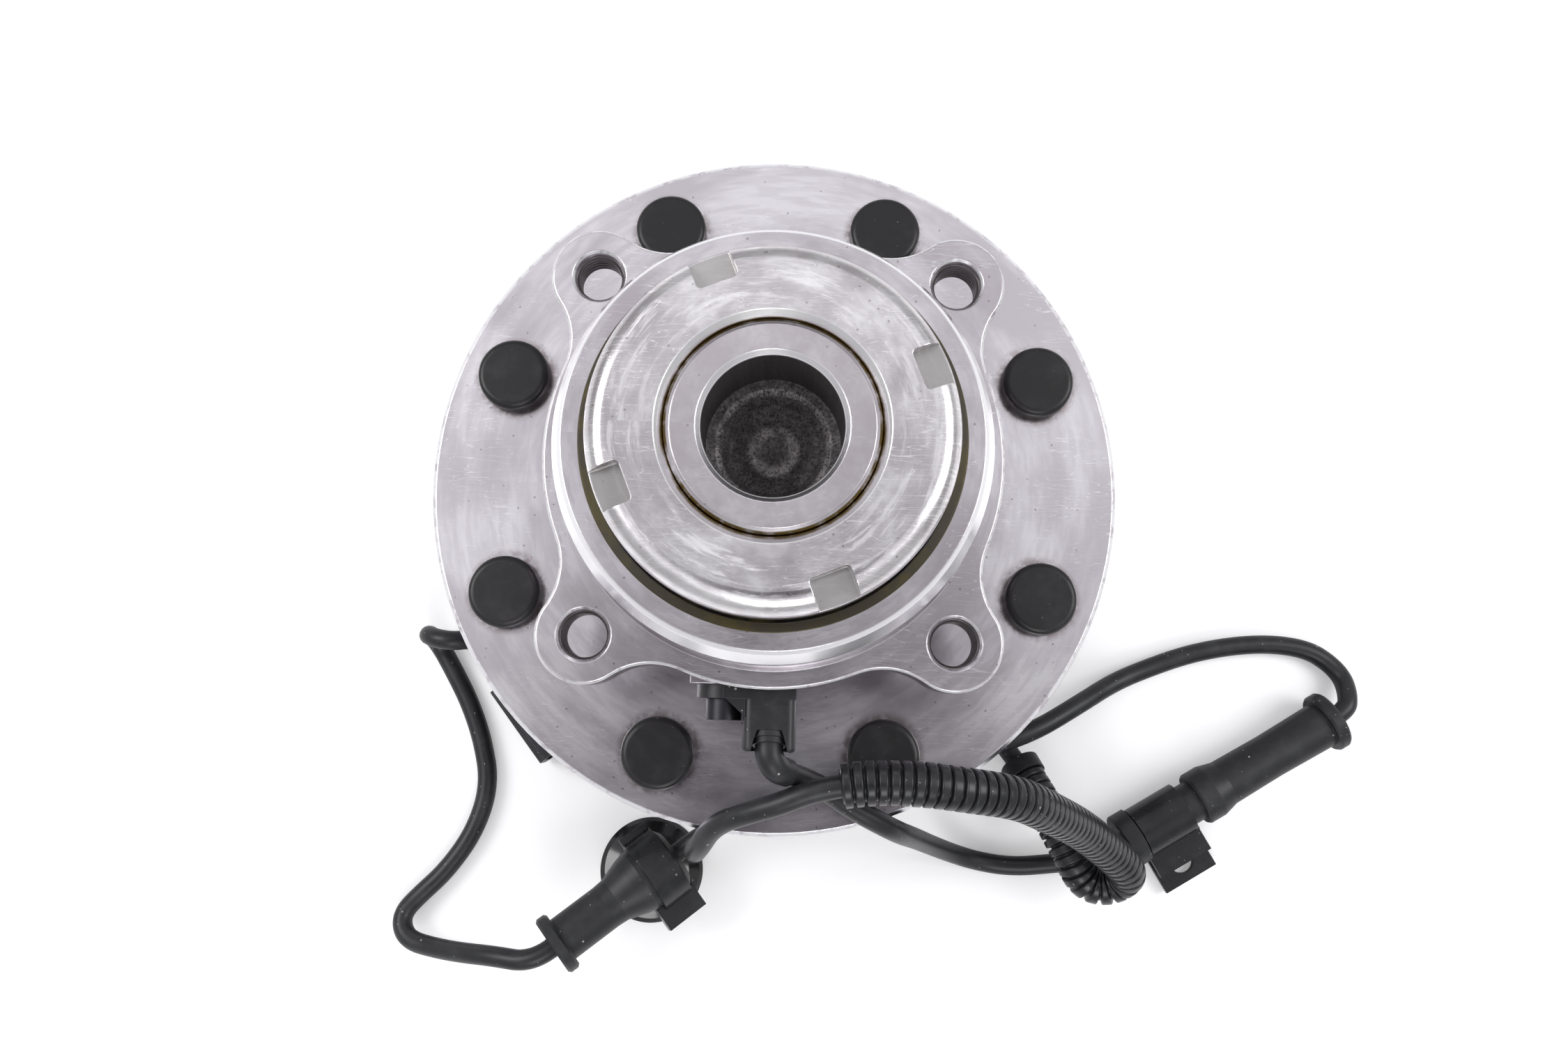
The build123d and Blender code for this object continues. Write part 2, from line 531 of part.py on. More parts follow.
# ------------------------------------------------------------------ outer ring
def mount_flange_outline():
    """Four ears on a round waist, blended by concave arcs."""
    half = MOUNT_HOLE_SPACING / 2
    reach = half * sqrt(2)
    waist = MOUNT_WAIST_RADIUS
    near = waist + MOUNT_EAR_BLEND
    far = MOUNT_EAR_RADIUS + MOUNT_EAR_BLEND
    swing_cos = (near ** 2 + reach ** 2 - far ** 2) / (2 * near * reach)
    swing = (1 - swing_cos ** 2) ** 0.5
    face = Circle(waist)
    for k in range(4):
        turn = Rot(0, 0, 45 + 90 * k)
        centre_x, centre_y = near * swing_cos, near * swing
        ear_x = reach + (centre_x - reach) * MOUNT_EAR_RADIUS / far
        ear_y = centre_y * MOUNT_EAR_RADIUS / far
        waist_x, waist_y = waist * swing_cos, waist * swing
        web = make_face(Polyline([
            (0, 0), (waist_x, -waist_y), (centre_x, -centre_y), (ear_x, -ear_y), (reach, 0),
            (ear_x, ear_y), (centre_x, centre_y), (waist_x, waist_y),
        ], close=True))
        web -= Pos(centre_x, centre_y) * Circle(MOUNT_EAR_BLEND)
        web -= Pos(centre_x, -centre_y) * Circle(MOUNT_EAR_BLEND)
        face += turn * (web + Pos(reach, 0) * Circle(MOUNT_EAR_RADIUS))
    return face


def outer_ring():
    low = FLANGE_FACE_Z + OUTER_RING_START
    high = FLANGE_FACE_Z + OUTER_RING_END
    flange_low = FLANGE_FACE_Z + MOUNT_FLANGE_START
    pilot_top = MOUNT_FACE_Z + PILOT_HEIGHT
    body = turned([
        (OUTER_BORE_RADIUS, low), (OUTER_BODY_RADIUS - OUTER_BODY_BEVEL, low),
        (OUTER_BODY_RADIUS, low + OUTER_BODY_BEVEL), (OUTER_BODY_RADIUS, flange_low - OUTER_BODY_FLARE),
        (OUTER_BODY_RADIUS + OUTER_BODY_FLARE, flange_low),
        (OUTER_BODY_RADIUS + OUTER_BODY_FLARE, MOUNT_FACE_Z), (PILOT_RADIUS + EDGE, MOUNT_FACE_Z),
        (PILOT_RADIUS, MOUNT_FACE_Z + PILOT_FOOT), (PILOT_RADIUS, pilot_top),
        (PILOT_NOSE_RADIUS + EDGE, high - PILOT_NOSE_BEVEL), (PILOT_NOSE_RADIUS, high),
        (OUTER_BORE_RADIUS, high),
        (OUTER_BORE_RADIUS, race_radius_at(+1, OUTER_BORE_RADIUS, +1)),
        (OUTER_WAIST_RADIUS, race_radius_at(+1, OUTER_WAIST_RADIUS, +1)),
        (OUTER_WAIST_RADIUS, race_radius_at(-1, OUTER_WAIST_RADIUS, +1)),
        (OUTER_BORE_RADIUS, race_radius_at(-1, OUTER_BORE_RADIUS, +1)),
    ])
    plate = Pos(0, 0, flange_low) * extrude(mount_flange_outline(), MOUNT_FLANGE_THICKNESS)
    rim = plate.edges().filter_by_position(Axis.Z, MOUNT_FACE_Z - 0.01, MOUNT_FACE_Z + 0.01)
    plate = chamfer(rim, MOUNT_RIM_BEVEL)
    plate -= bar(OUTER_BODY_RADIUS, flange_low - EDGE, MOUNT_FACE_Z + EDGE)
    boss = box_between(
        (SENSOR_X - SENSOR_SCREW_OFFSET - SENSOR_BOSS_MARGIN, SENSOR_SEAT_Y, SENSOR_Z - SENSOR_BOSS_DROP),
        (SENSOR_X + SENSOR_BOSS_MARGIN, -OUTER_BODY_RADIUS + 6, flange_low))
    boss -= bar(OUTER_BODY_RADIUS - EDGE, low, flange_low + EDGE)
    body = body + plate + boss
    half = MOUNT_HOLE_SPACING / 2
    for x in (-half, half):
        for y in (-half, half):
            hole = bar(MOUNT_HOLE_RADIUS, flange_low - EDGE, MOUNT_FACE_Z + EDGE, x, y)
            bevel = MOUNT_HOLE_CHAMFER
            mouth = Pos(x, y, MOUNT_FACE_Z) * turned([
                (0, -bevel), (MOUNT_HOLE_RADIUS, -bevel), (MOUNT_HOLE_RADIUS + bevel, 0), (0, 0),
            ])
            body -= hole + mouth
    probe_hole = radial_bar(SENSOR_PROBE_RADIUS + PROBE_HOLE_CLEARANCE, SENSOR_SEAT_Y - 1,
                            -OUTER_WAIST_RADIUS + 3, SENSOR_X)
    screw_hole = radial_bar(SENSOR_SCREW_RADIUS, SENSOR_SEAT_Y - 1, SENSOR_SEAT_Y + SENSOR_SCREW_DEPTH,
                            SENSOR_X - SENSOR_SCREW_OFFSET, sensor_screw_z())
    return body - probe_hole - screw_hole


def seal_case(low, high, open_end):
    """A pressed steel L-ring in the outer ring's bore; its web is at the outer face."""
    wall = SEAL_CASE_THICKNESS
    outer = OUTER_BORE_RADIUS
    inner = LAND_RADIUS + SEAL_WEB_GAP
    web_low, web_high = (low, low + wall) if open_end < 0 else (high - wall, high)
    return turned([(outer - wall, low), (outer, low), (outer, high), (outer - wall, high)]) + turned(
        [(inner, web_low), (outer, web_low), (outer, web_high), (inner, web_high)])


def seal_lip(low, high, open_end):
    """A rubber lip bonded under the case's web, just clear of the land it seals on."""
    wall = SEAL_CASE_THICKNESS
    inner = LAND_RADIUS + SEAL_LIP_CLEARANCE
    outer = OUTER_BORE_RADIUS - wall
    open_z, web_z = (low, high - wall) if open_end > 0 else (high, low + wall)
    middle = (open_z + web_z) / 2
    waist = middle - open_end * SEAL_LIP_EDGE
    return turned([
        (inner, open_z), (outer, open_z), (outer, web_z), (inner + SEAL_LIP_ROOT, web_z),
        (inner + SEAL_LIP_NECK, middle), (inner, waist),
    ])


def ring_nut():
    face = FLANGE_FACE_Z + INNER_RING_END
    bore = SPINDLE_THREAD_RADIUS + THREAD_CLEARANCE
    body = turned([
        (bore, face - NUT_COLLAR_HEIGHT), (NUT_COLLAR_RADIUS - EDGE, face - NUT_COLLAR_HEIGHT),
        (NUT_COLLAR_RADIUS, face - NUT_COLLAR_HEIGHT + EDGE), (NUT_COLLAR_RADIUS, face),
        (NUT_FLANGE_RADIUS - NUT_EDGE_BEVEL, face), (NUT_FLANGE_RADIUS, face + NUT_EDGE_BEVEL),
        (NUT_FLANGE_RADIUS, NUT_TOP_Z),
        (bore + NUT_BORE_BEVEL, NUT_TOP_Z), (bore, NUT_TOP_Z - NUT_BORE_BEVEL),
    ])
    rim = [e for e in body.edges() if abs(e.center().Z - NUT_TOP_Z) < 0.01 and e.radius > NUT_SLOT_FLOOR_RADIUS]
    body = fillet(rim, NUT_ROUNDING)
    cutter = box_between((NUT_SLOT_FLOOR_RADIUS, -NUT_SLOT_WIDTH / 2, NUT_TOP_Z - NUT_SLOT_DEPTH),
                         (NUT_FLANGE_RADIUS + EDGE, NUT_SLOT_WIDTH / 2, NUT_TOP_Z + EDGE))
    cutter = fillet(cutter.edges().filter_by(Axis.Z).sort_by(Axis.X)[:2], NUT_SLOT_CORNER)
    pitch = 360 / NUT_SLOT_COUNT
    return body - [Rot(0, 0, NUT_SLOT_FIRST_ANGLE + pitch * k) * cutter for k in range(NUT_SLOT_COUNT)]


# --------------------------------------------------------------- speed sensor
def radial_bar(radius, y_outer, y_inner, x, z=SENSOR_Z):
    """A round bar along Y, on the sensor's height unless told otherwise."""
    return Plane(origin=(x, y_outer, z), z_dir=(0, 1, 0)) * extrude(Circle(radius), y_inner - y_outer)


def sensor_plate_y():
    return SENSOR_SEAT_Y - SENSOR_PLATE_THICKNESS


def sensor_body():
    low = sensor_screw_z() - SENSOR_PLATE_HEIGHT / 2
    high = low + SENSOR_PLATE_HEIGHT
    x_screw = SENSOR_X - SENSOR_SCREW_OFFSET
    x_right = SENSOR_X + SENSOR_BODY_WIDTH / 2
    plate = box_between((x_screw, sensor_plate_y(), low), (x_right, SENSOR_SEAT_Y, high))
    plate = plate + radial_bar(SENSOR_EYE_RADIUS, sensor_plate_y(), SENSOR_SEAT_Y, x_screw, sensor_screw_z())
    x_left = x_right - SENSOR_BODY_WIDTH
    block = box_between((x_left, sensor_plate_y() - SENSOR_BODY_REACH, high - SENSOR_BODY_HEIGHT),
                        (x_right, sensor_plate_y(), high))
    block = fillet(block.edges().filter_by(Axis.Y), SENSOR_BODY_CORNER)
    block = fillet(block.edges().group_by(Axis.Y)[0], EDGE)
    gusset = Pos(0, 0, high - SENSOR_GUSSET_DROP) * extrude(make_face(Polyline([
        (x_left - SENSOR_GUSSET_REACH, sensor_plate_y()),
        (x_left + SENSOR_GUSSET_OVERLAP, sensor_plate_y() - SENSOR_GUSSET_REACH),
        (x_left + SENSOR_GUSSET_OVERLAP, sensor_plate_y()),
    ], close=True)), SENSOR_GUSSET_THICKNESS)
    tip = -(TONE_RING_RADIUS + SENSOR_AIR_GAP)
    probe = radial_bar(SENSOR_PROBE_RADIUS, SENSOR_SEAT_Y, tip, SENSOR_X)
    groove_y = SENSOR_SEAT_Y + O_RING_PLACE
    groove = radial_bar(SENSOR_PROBE_RADIUS + 1, groove_y - O_RING_SECTION, groove_y + O_RING_SECTION, SENSOR_X)
    groove -= radial_bar(SENSOR_PROBE_RADIUS - 2 * O_RING_SECTION, groove_y - 2, groove_y + 2, SENSOR_X)
    hole = radial_bar(SENSOR_SCREW_RADIUS + BUSHING_WALL, sensor_plate_y() - 1, SENSOR_SEAT_Y + 1, x_screw,
                      sensor_screw_z())
    return plate + (block - boot_recess()) + gusset + (probe - groove) - hole


def boot_recess():
    """A round pocket that breaks out through the block's top and front."""
    start, corner = BOOT_ROUTE[:2]
    length = (Vector(*corner) - Vector(*start)).length
    return along(start, corner, [(0, BOOT_RECESS_RADIUS), (length, BOOT_RECESS_RADIUS)])


def sensor_screw_z():
    return SENSOR_Z - SENSOR_SCREW_DROP


def sensor_bushing():
    x = SENSOR_X - SENSOR_SCREW_OFFSET
    z = sensor_screw_z()
    bore = SENSOR_SCREW_RADIUS + SCREW_HOLE_CLEARANCE
    outer = radial_bar(SENSOR_SCREW_RADIUS + BUSHING_WALL, sensor_plate_y(), SENSOR_SEAT_Y, x, z)
    return outer - radial_bar(bore, sensor_plate_y() - EDGE, SENSOR_SEAT_Y + EDGE, x, z)


def sensor_screw():
    x = SENSOR_X - SENSOR_SCREW_OFFSET
    z = sensor_screw_z()
    shank = radial_bar(SENSOR_SCREW_RADIUS, sensor_plate_y(), SENSOR_SEAT_Y + SENSOR_SCREW_DEPTH - 1, x, z)
    top = sensor_plate_y() - SENSOR_SCREW_HEAD_HEIGHT
    head = radial_bar(SENSOR_SCREW_HEAD_RADIUS, top, sensor_plate_y(), x, z)
    socket = Plane(origin=(x, top, z), z_dir=(0, 1, 0)) * extrude(
        RegularPolygon(SCREW_SOCKET_RADIUS, 6), SCREW_SOCKET_DEPTH)
    return shank + head - socket


def sensor_o_ring():
    centre = (SENSOR_X, SENSOR_SEAT_Y + O_RING_PLACE, SENSOR_Z)
    return Plane(origin=centre, z_dir=(0, 1, 0)) * Torus(SENSOR_PROBE_RADIUS - O_RING_SECTION, O_RING_SECTION)


def cable_boot():
    """Two stepped collars in the sensor's recess and an elbow moulded on them."""
    start, corner, end = BOOT_ROUTE
    collars = along(start, corner, [
        (0, BOOT_COLLAR_RADIUS), (BOOT_COLLAR_LENGTH, BOOT_COLLAR_RADIUS),
        (BOOT_COLLAR_LENGTH, BOOT_STEP_RADIUS), (2 * BOOT_COLLAR_LENGTH, BOOT_STEP_RADIUS),
    ])
    path = FilletPolyline(start, corner, end, radius=BOOT_BEND_RADIUS)
    elbow = sweep(Plane(origin=path @ 0, z_dir=path % 0) * Circle(BOOT_ELBOW_RADIUS), path=path)
    return collars + elbow


# -------------------------------------------------------------------- harness
def sleeve(start, end, outline, flange):
    """A moulded rubber sleeve with a flange at its far end."""
    length = (Vector(*end) - Vector(*start)).length
    return along(start, end, outline + [(length - back, radius) for back, radius in flange])


def clip_frame(start, end):
    """Plane on a sleeve's axis: Z along the sleeve, Y up, X level."""
    axis = (Vector(*end) - Vector(*start)).normalized()
    return Plane(origin=start, x_dir=Vector(-axis.Y, axis.X, 0).normalized(), z_dir=axis)


def right_clip():
    """A closed band with a two-lipped channel bracket on the sleeve's outer side."""
    inner = RIGHT_CLIP_SEAT_RADIUS + CLIP_CLEARANCE
    outer = inner + RIGHT_BAND_THICKNESS
    near, far = RIGHT_BRACKET
    floor = -RIGHT_SLEEVE_START[2]
    lower_low = floor + RIGHT_LOWER_LIP_HEIGHT
    upper_low = floor + RIGHT_UPPER_LIP_HEIGHT
    band = ring_along(RIGHT_SLEEVE_START, RIGHT_SLEEVE_END, *RIGHT_BAND, inner, outer)
    web = box_between((-outer - 0.2, lower_low + EDGE, near), (-outer + 2.0, -0.2, far))
    upper = box_between((-outer - RIGHT_UPPER_LIP_REACH, upper_low, near),
                        (-outer + EDGE, upper_low + RIGHT_LIP_THICKNESS, far))
    lower = box_between((-outer - RIGHT_LOWER_LIP_REACH, lower_low, near),
                        (-outer + 2.0, lower_low + RIGHT_LIP_THICKNESS, far))
    bracket = web + upper - Pos(0, 0, near - EDGE) * extrude(Circle(inner), far - near + 2 * EDGE)
    hole_start = (-outer - RIGHT_UPPER_LIP_REACH, floor, RIGHT_CLIP_HOLE_PLACE)
    hole_length = RIGHT_LOWER_LIP_HEIGHT + RIGHT_LIP_THICKNESS + EDGE
    hole = Plane(origin=hole_start, z_dir=(0, 1, 0)) * extrude(Circle(RIGHT_CLIP_HOLE_RADIUS), hole_length)
    return band + clip_frame(RIGHT_SLEEVE_START, RIGHT_SLEEVE_END) * (bracket + (lower - hole))


def left_clip():
    """A ratchet band: latch block on its outer side, lead-in tab opposite, stem below."""
    inner = LEFT_CLIP_SEAT_RADIUS + CLIP_CLEARANCE
    outer = inner + CLIP_BAND_THICKNESS
    band = ring_along(LEFT_SLEEVE_START, LEFT_SLEEVE_END, *LEFT_BAND, inner, outer)
    latch = box_between((outer - LATCH_OVERLAP, LATCH_SPAN[0], LATCH_LENGTH[0]),
                        (outer + LATCH_REACH, LATCH_SPAN[1], LATCH_LENGTH[1]))
    latch -= box_between((outer + LATCH_WINDOW_REACH[0], LATCH_WINDOW_SPAN[0], -EDGE),
                         (outer + LATCH_WINDOW_REACH[1], LATCH_WINDOW_SPAN[1], LATCH_WINDOW_DEPTH))
    tab = box_between((-outer - LEAD_IN_TAB[1], -LEAD_IN_TAB[1], LEFT_BAND[0]),
                      (-outer + LEAD_IN_TAB[0], LEAD_IN_TAB[1], LEFT_BAND[1]))
    stem = Plane(origin=(0, -outer - CLIP_BUTTON_DROP, CLIP_BUTTON_PLACE), z_dir=(0, 1, 0)) * extrude(
        Circle(CLIP_STEM_RADIUS), CLIP_STEM_LENGTH)
    extra = latch + tab + stem - Pos(0, 0, -5) * extrude(Circle(inner), 30)
    return band + clip_frame(LEFT_SLEEVE_START, LEFT_SLEEVE_END) * extra


def clip_button():
    """The clip's push-in umbrella: a thin dome under the band."""
    top = LEFT_CLIP_SEAT_RADIUS + CLIP_CLEARANCE + CLIP_BAND_THICKNESS + CLIP_BUTTON_DROP
    seat = Plane(origin=(0, -top, CLIP_BUTTON_PLACE), z_dir=(0, 1, 0))
    return clip_frame(LEFT_SLEEVE_START, LEFT_SLEEVE_END) * (seat * turned(BUTTON_OUTLINE))


def rim_grommet():
    """A short rubber end piece round the cable, in line with the conduit's mouth."""
    mouth = Vector(*CONDUIT_ROUTE[0])
    away = (mouth - Vector(*CONDUIT_ROUTE[1])).normalized()
    return ring_along(tuple(mouth), tuple(mouth + away * RIM_GROMMET_LENGTH), 0, RIM_GROMMET_LENGTH,
                      CONDUIT_BORE_RADIUS, CONDUIT_RADIUS + 0.6)


def connector_frame():
    return Plane(origin=CONNECTOR_REAR, x_dir=(0, 0, 1), z_dir=CONNECTOR_DIRECTION)


def terminal_slots(z, thickness, width, length):
    """A pair of flat bars along the connector, one at each terminal's place."""
    return [Pos(0, y, z) * extrude(Rectangle(thickness, width), length) for y in TERMINAL_PLACES]


def connector_housing():
    high, wide, wall = CONNECTOR_HEIGHT, CONNECTOR_WIDTH, CONNECTOR_WALL
    mouth_floor = CONNECTOR_LENGTH - CONNECTOR_MOUTH_DEPTH
    neck = extrude(Circle(high / 2 - CONNECTOR_NECK_STEP), CONNECTOR_NECK_LENGTH)
    shell = Pos(0, 0, CONNECTOR_NECK_LENGTH) * extrude(
        RectangleRounded(high, wide, CONNECTOR_CORNER), CONNECTOR_LENGTH - CONNECTOR_NECK_LENGTH)
    mouth = Pos(0, 0, mouth_floor) * extrude(
        RectangleRounded(high - 2 * wall, wide - 2 * wall, CONNECTOR_MOUTH_CORNER), CONNECTOR_MOUTH_DEPTH)
    pocket = extrude(Circle(CONNECTOR_SEAL_RADIUS), CONNECTOR_SEAL_LENGTH)
    holes = terminal_slots(mouth_floor - TERMINAL_ROOT, TERMINAL_THICKNESS, TERMINAL_WIDTH, TERMINAL_ROOT)
    latch = box_between((high / 2 - CONNECTOR_LATCH_OVERLAP, -CONNECTOR_LATCH_WIDTH / 2, CONNECTOR_LATCH[0]),
                        (high / 2 + CONNECTOR_LATCH_HEIGHT, CONNECTOR_LATCH_WIDTH / 2, CONNECTOR_LATCH[1]))
    return connector_frame() * (neck + shell + latch - mouth - pocket - holes)


def connector_seal():
    return connector_frame() * extrude(Circle(CONNECTOR_SEAL_RADIUS), CONNECTOR_SEAL_LENGTH)


def connector_terminals():
    root = CONNECTOR_LENGTH - CONNECTOR_MOUTH_DEPTH - TERMINAL_ROOT
    blades = terminal_slots(root, TERMINAL_THICKNESS, TERMINAL_WIDTH, TERMINAL_LENGTH)
    return Compound(children=[connector_frame() * blade for blade in blades])


def connector_lock():
    """A plate at the bottom of the connector's mouth, round both terminals."""
    inset = 2 * CONNECTOR_WALL + 2 * LOCK_CLEARANCE
    floor = CONNECTOR_LENGTH - CONNECTOR_MOUTH_DEPTH
    plate = Pos(0, 0, floor) * extrude(
        RectangleRounded(CONNECTOR_HEIGHT - inset, CONNECTOR_WIDTH - inset, LOCK_CORNER), LOCK_THICKNESS)
    slots = terminal_slots(floor - EDGE, TERMINAL_THICKNESS + LOCK_SLOT_CLEARANCE,
                           TERMINAL_WIDTH + LOCK_SLOT_CLEARANCE, LOCK_THICKNESS + 2 * EDGE)
    return connector_frame() * (plate - slots)


def write(name, shape):
    shape.label = name
    export_step(shape, os.path.join("parts", name + ".step"))


def main():
    os.makedirs("parts", exist_ok=True)
    low = FLANGE_FACE_Z + OUTER_RING_START
    high = FLANGE_FACE_Z + OUTER_RING_END
    write("hub_spindle", hub_spindle())
    write("wheel_studs", wheel_studs())
    write("outboard_inner_ring", outboard_inner_ring())
    write("inboard_inner_ring", inboard_inner_ring())
    write("tone_ring", tone_ring())
    write("ring_nut", ring_nut())
    for side, name in ((-1, "outboard"), (1, "inboard")):
        write(name + "_rollers", row_rollers(side))
        write(name + "_cage", row_cage(side))
    write("outer_ring", outer_ring())
    write("outboard_seal_case", seal_case(low, low + SEAL_WIDTH, -1))
    write("outboard_seal_lip", seal_lip(low, low + SEAL_WIDTH, -1))
    write("inboard_seal_case", seal_case(high - SEAL_WIDTH, high, 1))
    write("inboard_seal_lip", seal_lip(high - SEAL_WIDTH, high, 1))
    write("sensor_body", sensor_body())
    write("sensor_bushing", sensor_bushing())
    write("sensor_screw", sensor_screw())
    write("sensor_o_ring", sensor_o_ring())
    write("cable_boot", cable_boot())
    print("sensor cable")
    write("sensor_cable", tube([BOOT_ROUTE[-1]] + SENSOR_ROUTE_TAIL + [RIGHT_SLEEVE_START], CABLE_RADIUS))
    write("right_grommet", sleeve(RIGHT_SLEEVE_START, RIGHT_SLEEVE_END, RIGHT_SLEEVE_OUTLINE,
                                  RIGHT_FLANGE_OUTLINE))
    write("right_clip", right_clip())
    print("middle cable")
    middle_route = [RIGHT_SLEEVE_END] + LOOP_ROUTE + CONDUIT_ROUTE + DRAPE_ROUTE + [LEFT_SLEEVE_START]
    write("middle_cable", tube(middle_route, CABLE_RADIUS))
    write("rim_grommet", rim_grommet())
    print("conduit")
    write("conduit", tube(CONDUIT_ROUTE, CONDUIT_RADIUS, CONDUIT_BORE_RADIUS))
    write("left_grommet", sleeve(LEFT_SLEEVE_START, LEFT_SLEEVE_END, LEFT_SLEEVE_OUTLINE, LEFT_FLANGE_OUTLINE))
    write("left_clip", left_clip())
    write("clip_button", clip_button())
    print("lead cable")
    write("lead_cable", tube([LEFT_SLEEVE_END] + LEAD_ROUTE + [CONNECTOR_REAR], CABLE_RADIUS))
    write("connector_housing", connector_housing())
    write("connector_seal", connector_seal())
    write("connector_terminals", connector_terminals())
    write("connector_lock", connector_lock())


main()
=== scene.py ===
"""Studio picture of the wheel hub bearing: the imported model, its finishes, its cords and its lights.

Metres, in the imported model's frame: +Z is the hub's spin axis, and the part stands on z = 0. Routes, and the
sizes of the hub and of the harness, are in millimetres as in the part's source.
"""
from math import cos, pi, radians, sin

import bmesh
import bpy
from mathutils import Matrix, Vector


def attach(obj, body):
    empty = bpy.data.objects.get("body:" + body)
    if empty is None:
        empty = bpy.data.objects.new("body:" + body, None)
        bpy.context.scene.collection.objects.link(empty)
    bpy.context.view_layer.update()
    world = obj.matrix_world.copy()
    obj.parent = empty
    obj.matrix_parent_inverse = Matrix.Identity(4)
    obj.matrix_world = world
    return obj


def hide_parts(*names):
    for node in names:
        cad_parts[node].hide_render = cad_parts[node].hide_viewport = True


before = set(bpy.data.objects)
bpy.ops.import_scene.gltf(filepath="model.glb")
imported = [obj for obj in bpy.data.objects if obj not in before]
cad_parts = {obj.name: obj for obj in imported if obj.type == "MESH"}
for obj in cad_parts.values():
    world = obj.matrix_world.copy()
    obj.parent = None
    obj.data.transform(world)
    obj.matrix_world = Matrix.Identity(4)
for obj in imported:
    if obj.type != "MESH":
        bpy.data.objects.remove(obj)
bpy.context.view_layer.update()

MM = 0.001

# ------------------------------------------------------------ the view
CAMERA_PLACE_MM = (3.05, -63.04, 442.08)
CAMERA_TILT_DEG = 7.996
CAMERA_ROLL_DEG = 1.390
CAMERA_LENS_MM = 30.21
CAMERA_SENSOR_MM = 36
CAMERA_CLIP_START = 0.01

# ------------------------------------------------------------ the studio, metres and watts
SOFTBOXES = (
    ("left_softbox", (-0.75, 0.15, 0.80), 0.5, 4.6),
    ("right_softbox", (0.80, 0.10, 0.75), 0.5, 3.8),
    ("front_softbox", (0.10, -0.85, 0.75), 0.4, 2.4),
)
SOFTBOX_AIM = (0, -0.03, 0.06)
TABLE_HALF_SIDE = 3.0
TABLE_DROP = 0.0002
TABLE_LIFT = 0.22
TABLE_WHITE = (0.90, 0.90, 0.90)
PURE_WHITE = (1.0, 1.0, 1.0)

# ------------------------------------------------------------ the room: directions are parts of a unit vector
WALL_GREY = (0.55, 0.55, 0.56)
CEILING_SHADE = (0.78, 0.75, 0.80)
CEILING_LIGHT = (1.05, 1.05, 1.08)
CEILING_FROM, CEILING_FULL = 0.50, 0.75
DIM_PATCH_COLOUR = (0.045, 0.036, 0.044)
DIM_PATCH_TILT = 0.14
DIM_PATCH_OUTSIDE, DIM_PATCH_INSIDE = 0.40, 0.23
DIM_PATCH_WANDER = 0.14
DIM_PATCH_FROM, DIM_PATCH_FULL = 0.5, 0.8

# ------------------------------------------------------------ the hub, millimetres
STUD_COUNT = 8
STUD_FIRST_ANGLE = 23.1
STUD_CIRCLE_MM = 82.55
KNUCKLE_HOLE_SPACING = 92.6
KNUCKLE_HOLE_RADIUS = 6.25
KNUCKLE_SLEEVE_GAP = 0.02
KNUCKLE_SLEEVE_WALL = 0.12
KNUCKLE_THREAD_CREST = 5.55
KNUCKLE_CREST_SHARES = (0.42, 0.58)
KNUCKLE_THREAD_PITCH = 1.75
KNUCKLE_THREAD_LOW = 102.4
KNUCKLE_THREAD_HIGH = 112.6

# ------------------------------------------------------------ where a finish changes, millimetres
FLANGE_RIM_RADII = (97.9, 99.4)
STUD_HALO_RADIUS = 11.6
SPINDLE_END_HEIGHT = 151.2
SPINDLE_LIP_RADII = (16.5, 17.75)
SPINDLE_LIP_HEIGHT = 150.0
SPINDLE_GREASE_RADII = (24.3, 26.5)
SPINDLE_GREASE_HEIGHT = 149.5
BORE_RADIUS = 16.65
BORE_MOUTH_HEIGHT = 150.7
BORE_FLOOR_HEIGHT = 127.6
BORE_OUTER_RING_RADII = (12.9, 14.4)
BORE_INNER_RING_RADII = (3.6, 6.6)
EAR_EDGE_HEIGHTS = (113.15, 113.75)
PILOT_WALL_RADIUS = 50.25
PILOT_WALL_HEIGHT = 115.8
PILOT_SCORE_HEIGHTS = (118.3, 130.4)
PILOT_SCORE_WIDTH = 0.5
PILOT_MOUTH_RADIUS = 46.15
PILOT_MOUTH_HEIGHT = 115.5
NUT_HAZE_RADII = (29.0, 41.0)
NUT_SLOT_RADII = (35.2, 42.9)
NUT_SLOT_FLOOR_HEIGHT = 147.8
NUT_CHAMFER_RADII = (25.5, 27.2)
NUT_THREAD_RADIUS = 25.4

# ------------------------------------------------------------ colours of wear, dirt and grease, and of painted highlights, reflection and shade
# bright scratches, and a painted highlight on the spindle bore's lip
SCRATCH_AND_HIGHLIGHT_WHITE = (0.92, 0.91, 0.93)
# chipped edges with a painted highlight along the flange rim and the ear edges
CHIPPED_EDGE_HIGHLIGHT = (0.93, 0.93, 0.95)
PIT_DARK = (0.14, 0.12, 0.12)
STUD_HALO_BROWN = (0.16, 0.115, 0.10)
SPINDLE_END_GREY = (0.44, 0.40, 0.41)
SPINDLE_GREASE = (0.13, 0.09, 0.03)
# painted shade in the spindle bore: near-black wall and dark floor, with grainy grey rings on the floor in the
# lighter colour
BORE_SHADE_BLACK = (0.030, 0.026, 0.027)
BORE_FLOOR_LIGHT = (0.95, 0.90, 0.91)
# painted reflection of the white room on the pilot's outer wall
PILOT_PAINTED_REFLECTION = (0.95, 0.95, 0.97)
PILOT_SCORE_DARK = (0.10, 0.09, 0.09)
PILOT_MOUTH_OIL = (0.10, 0.085, 0.03)
NUT_SWIRL_LIGHT = (0.97, 0.97, 0.97)
NUT_HAZE_LIGHT = (0.95, 0.95, 0.96)
NUT_SLOT_GREY = (0.40, 0.395, 0.375)
# painted highlight on the nut's bore chamfer
NUT_CHAMFER_HIGHLIGHT = (0.95, 0.95, 0.95)
NUT_THREAD_GREASE = (0.16, 0.115, 0.035)
OLIVE_GREASE = (0.075, 0.06, 0.018)
DUST_GREY = (0.55, 0.54, 0.52)

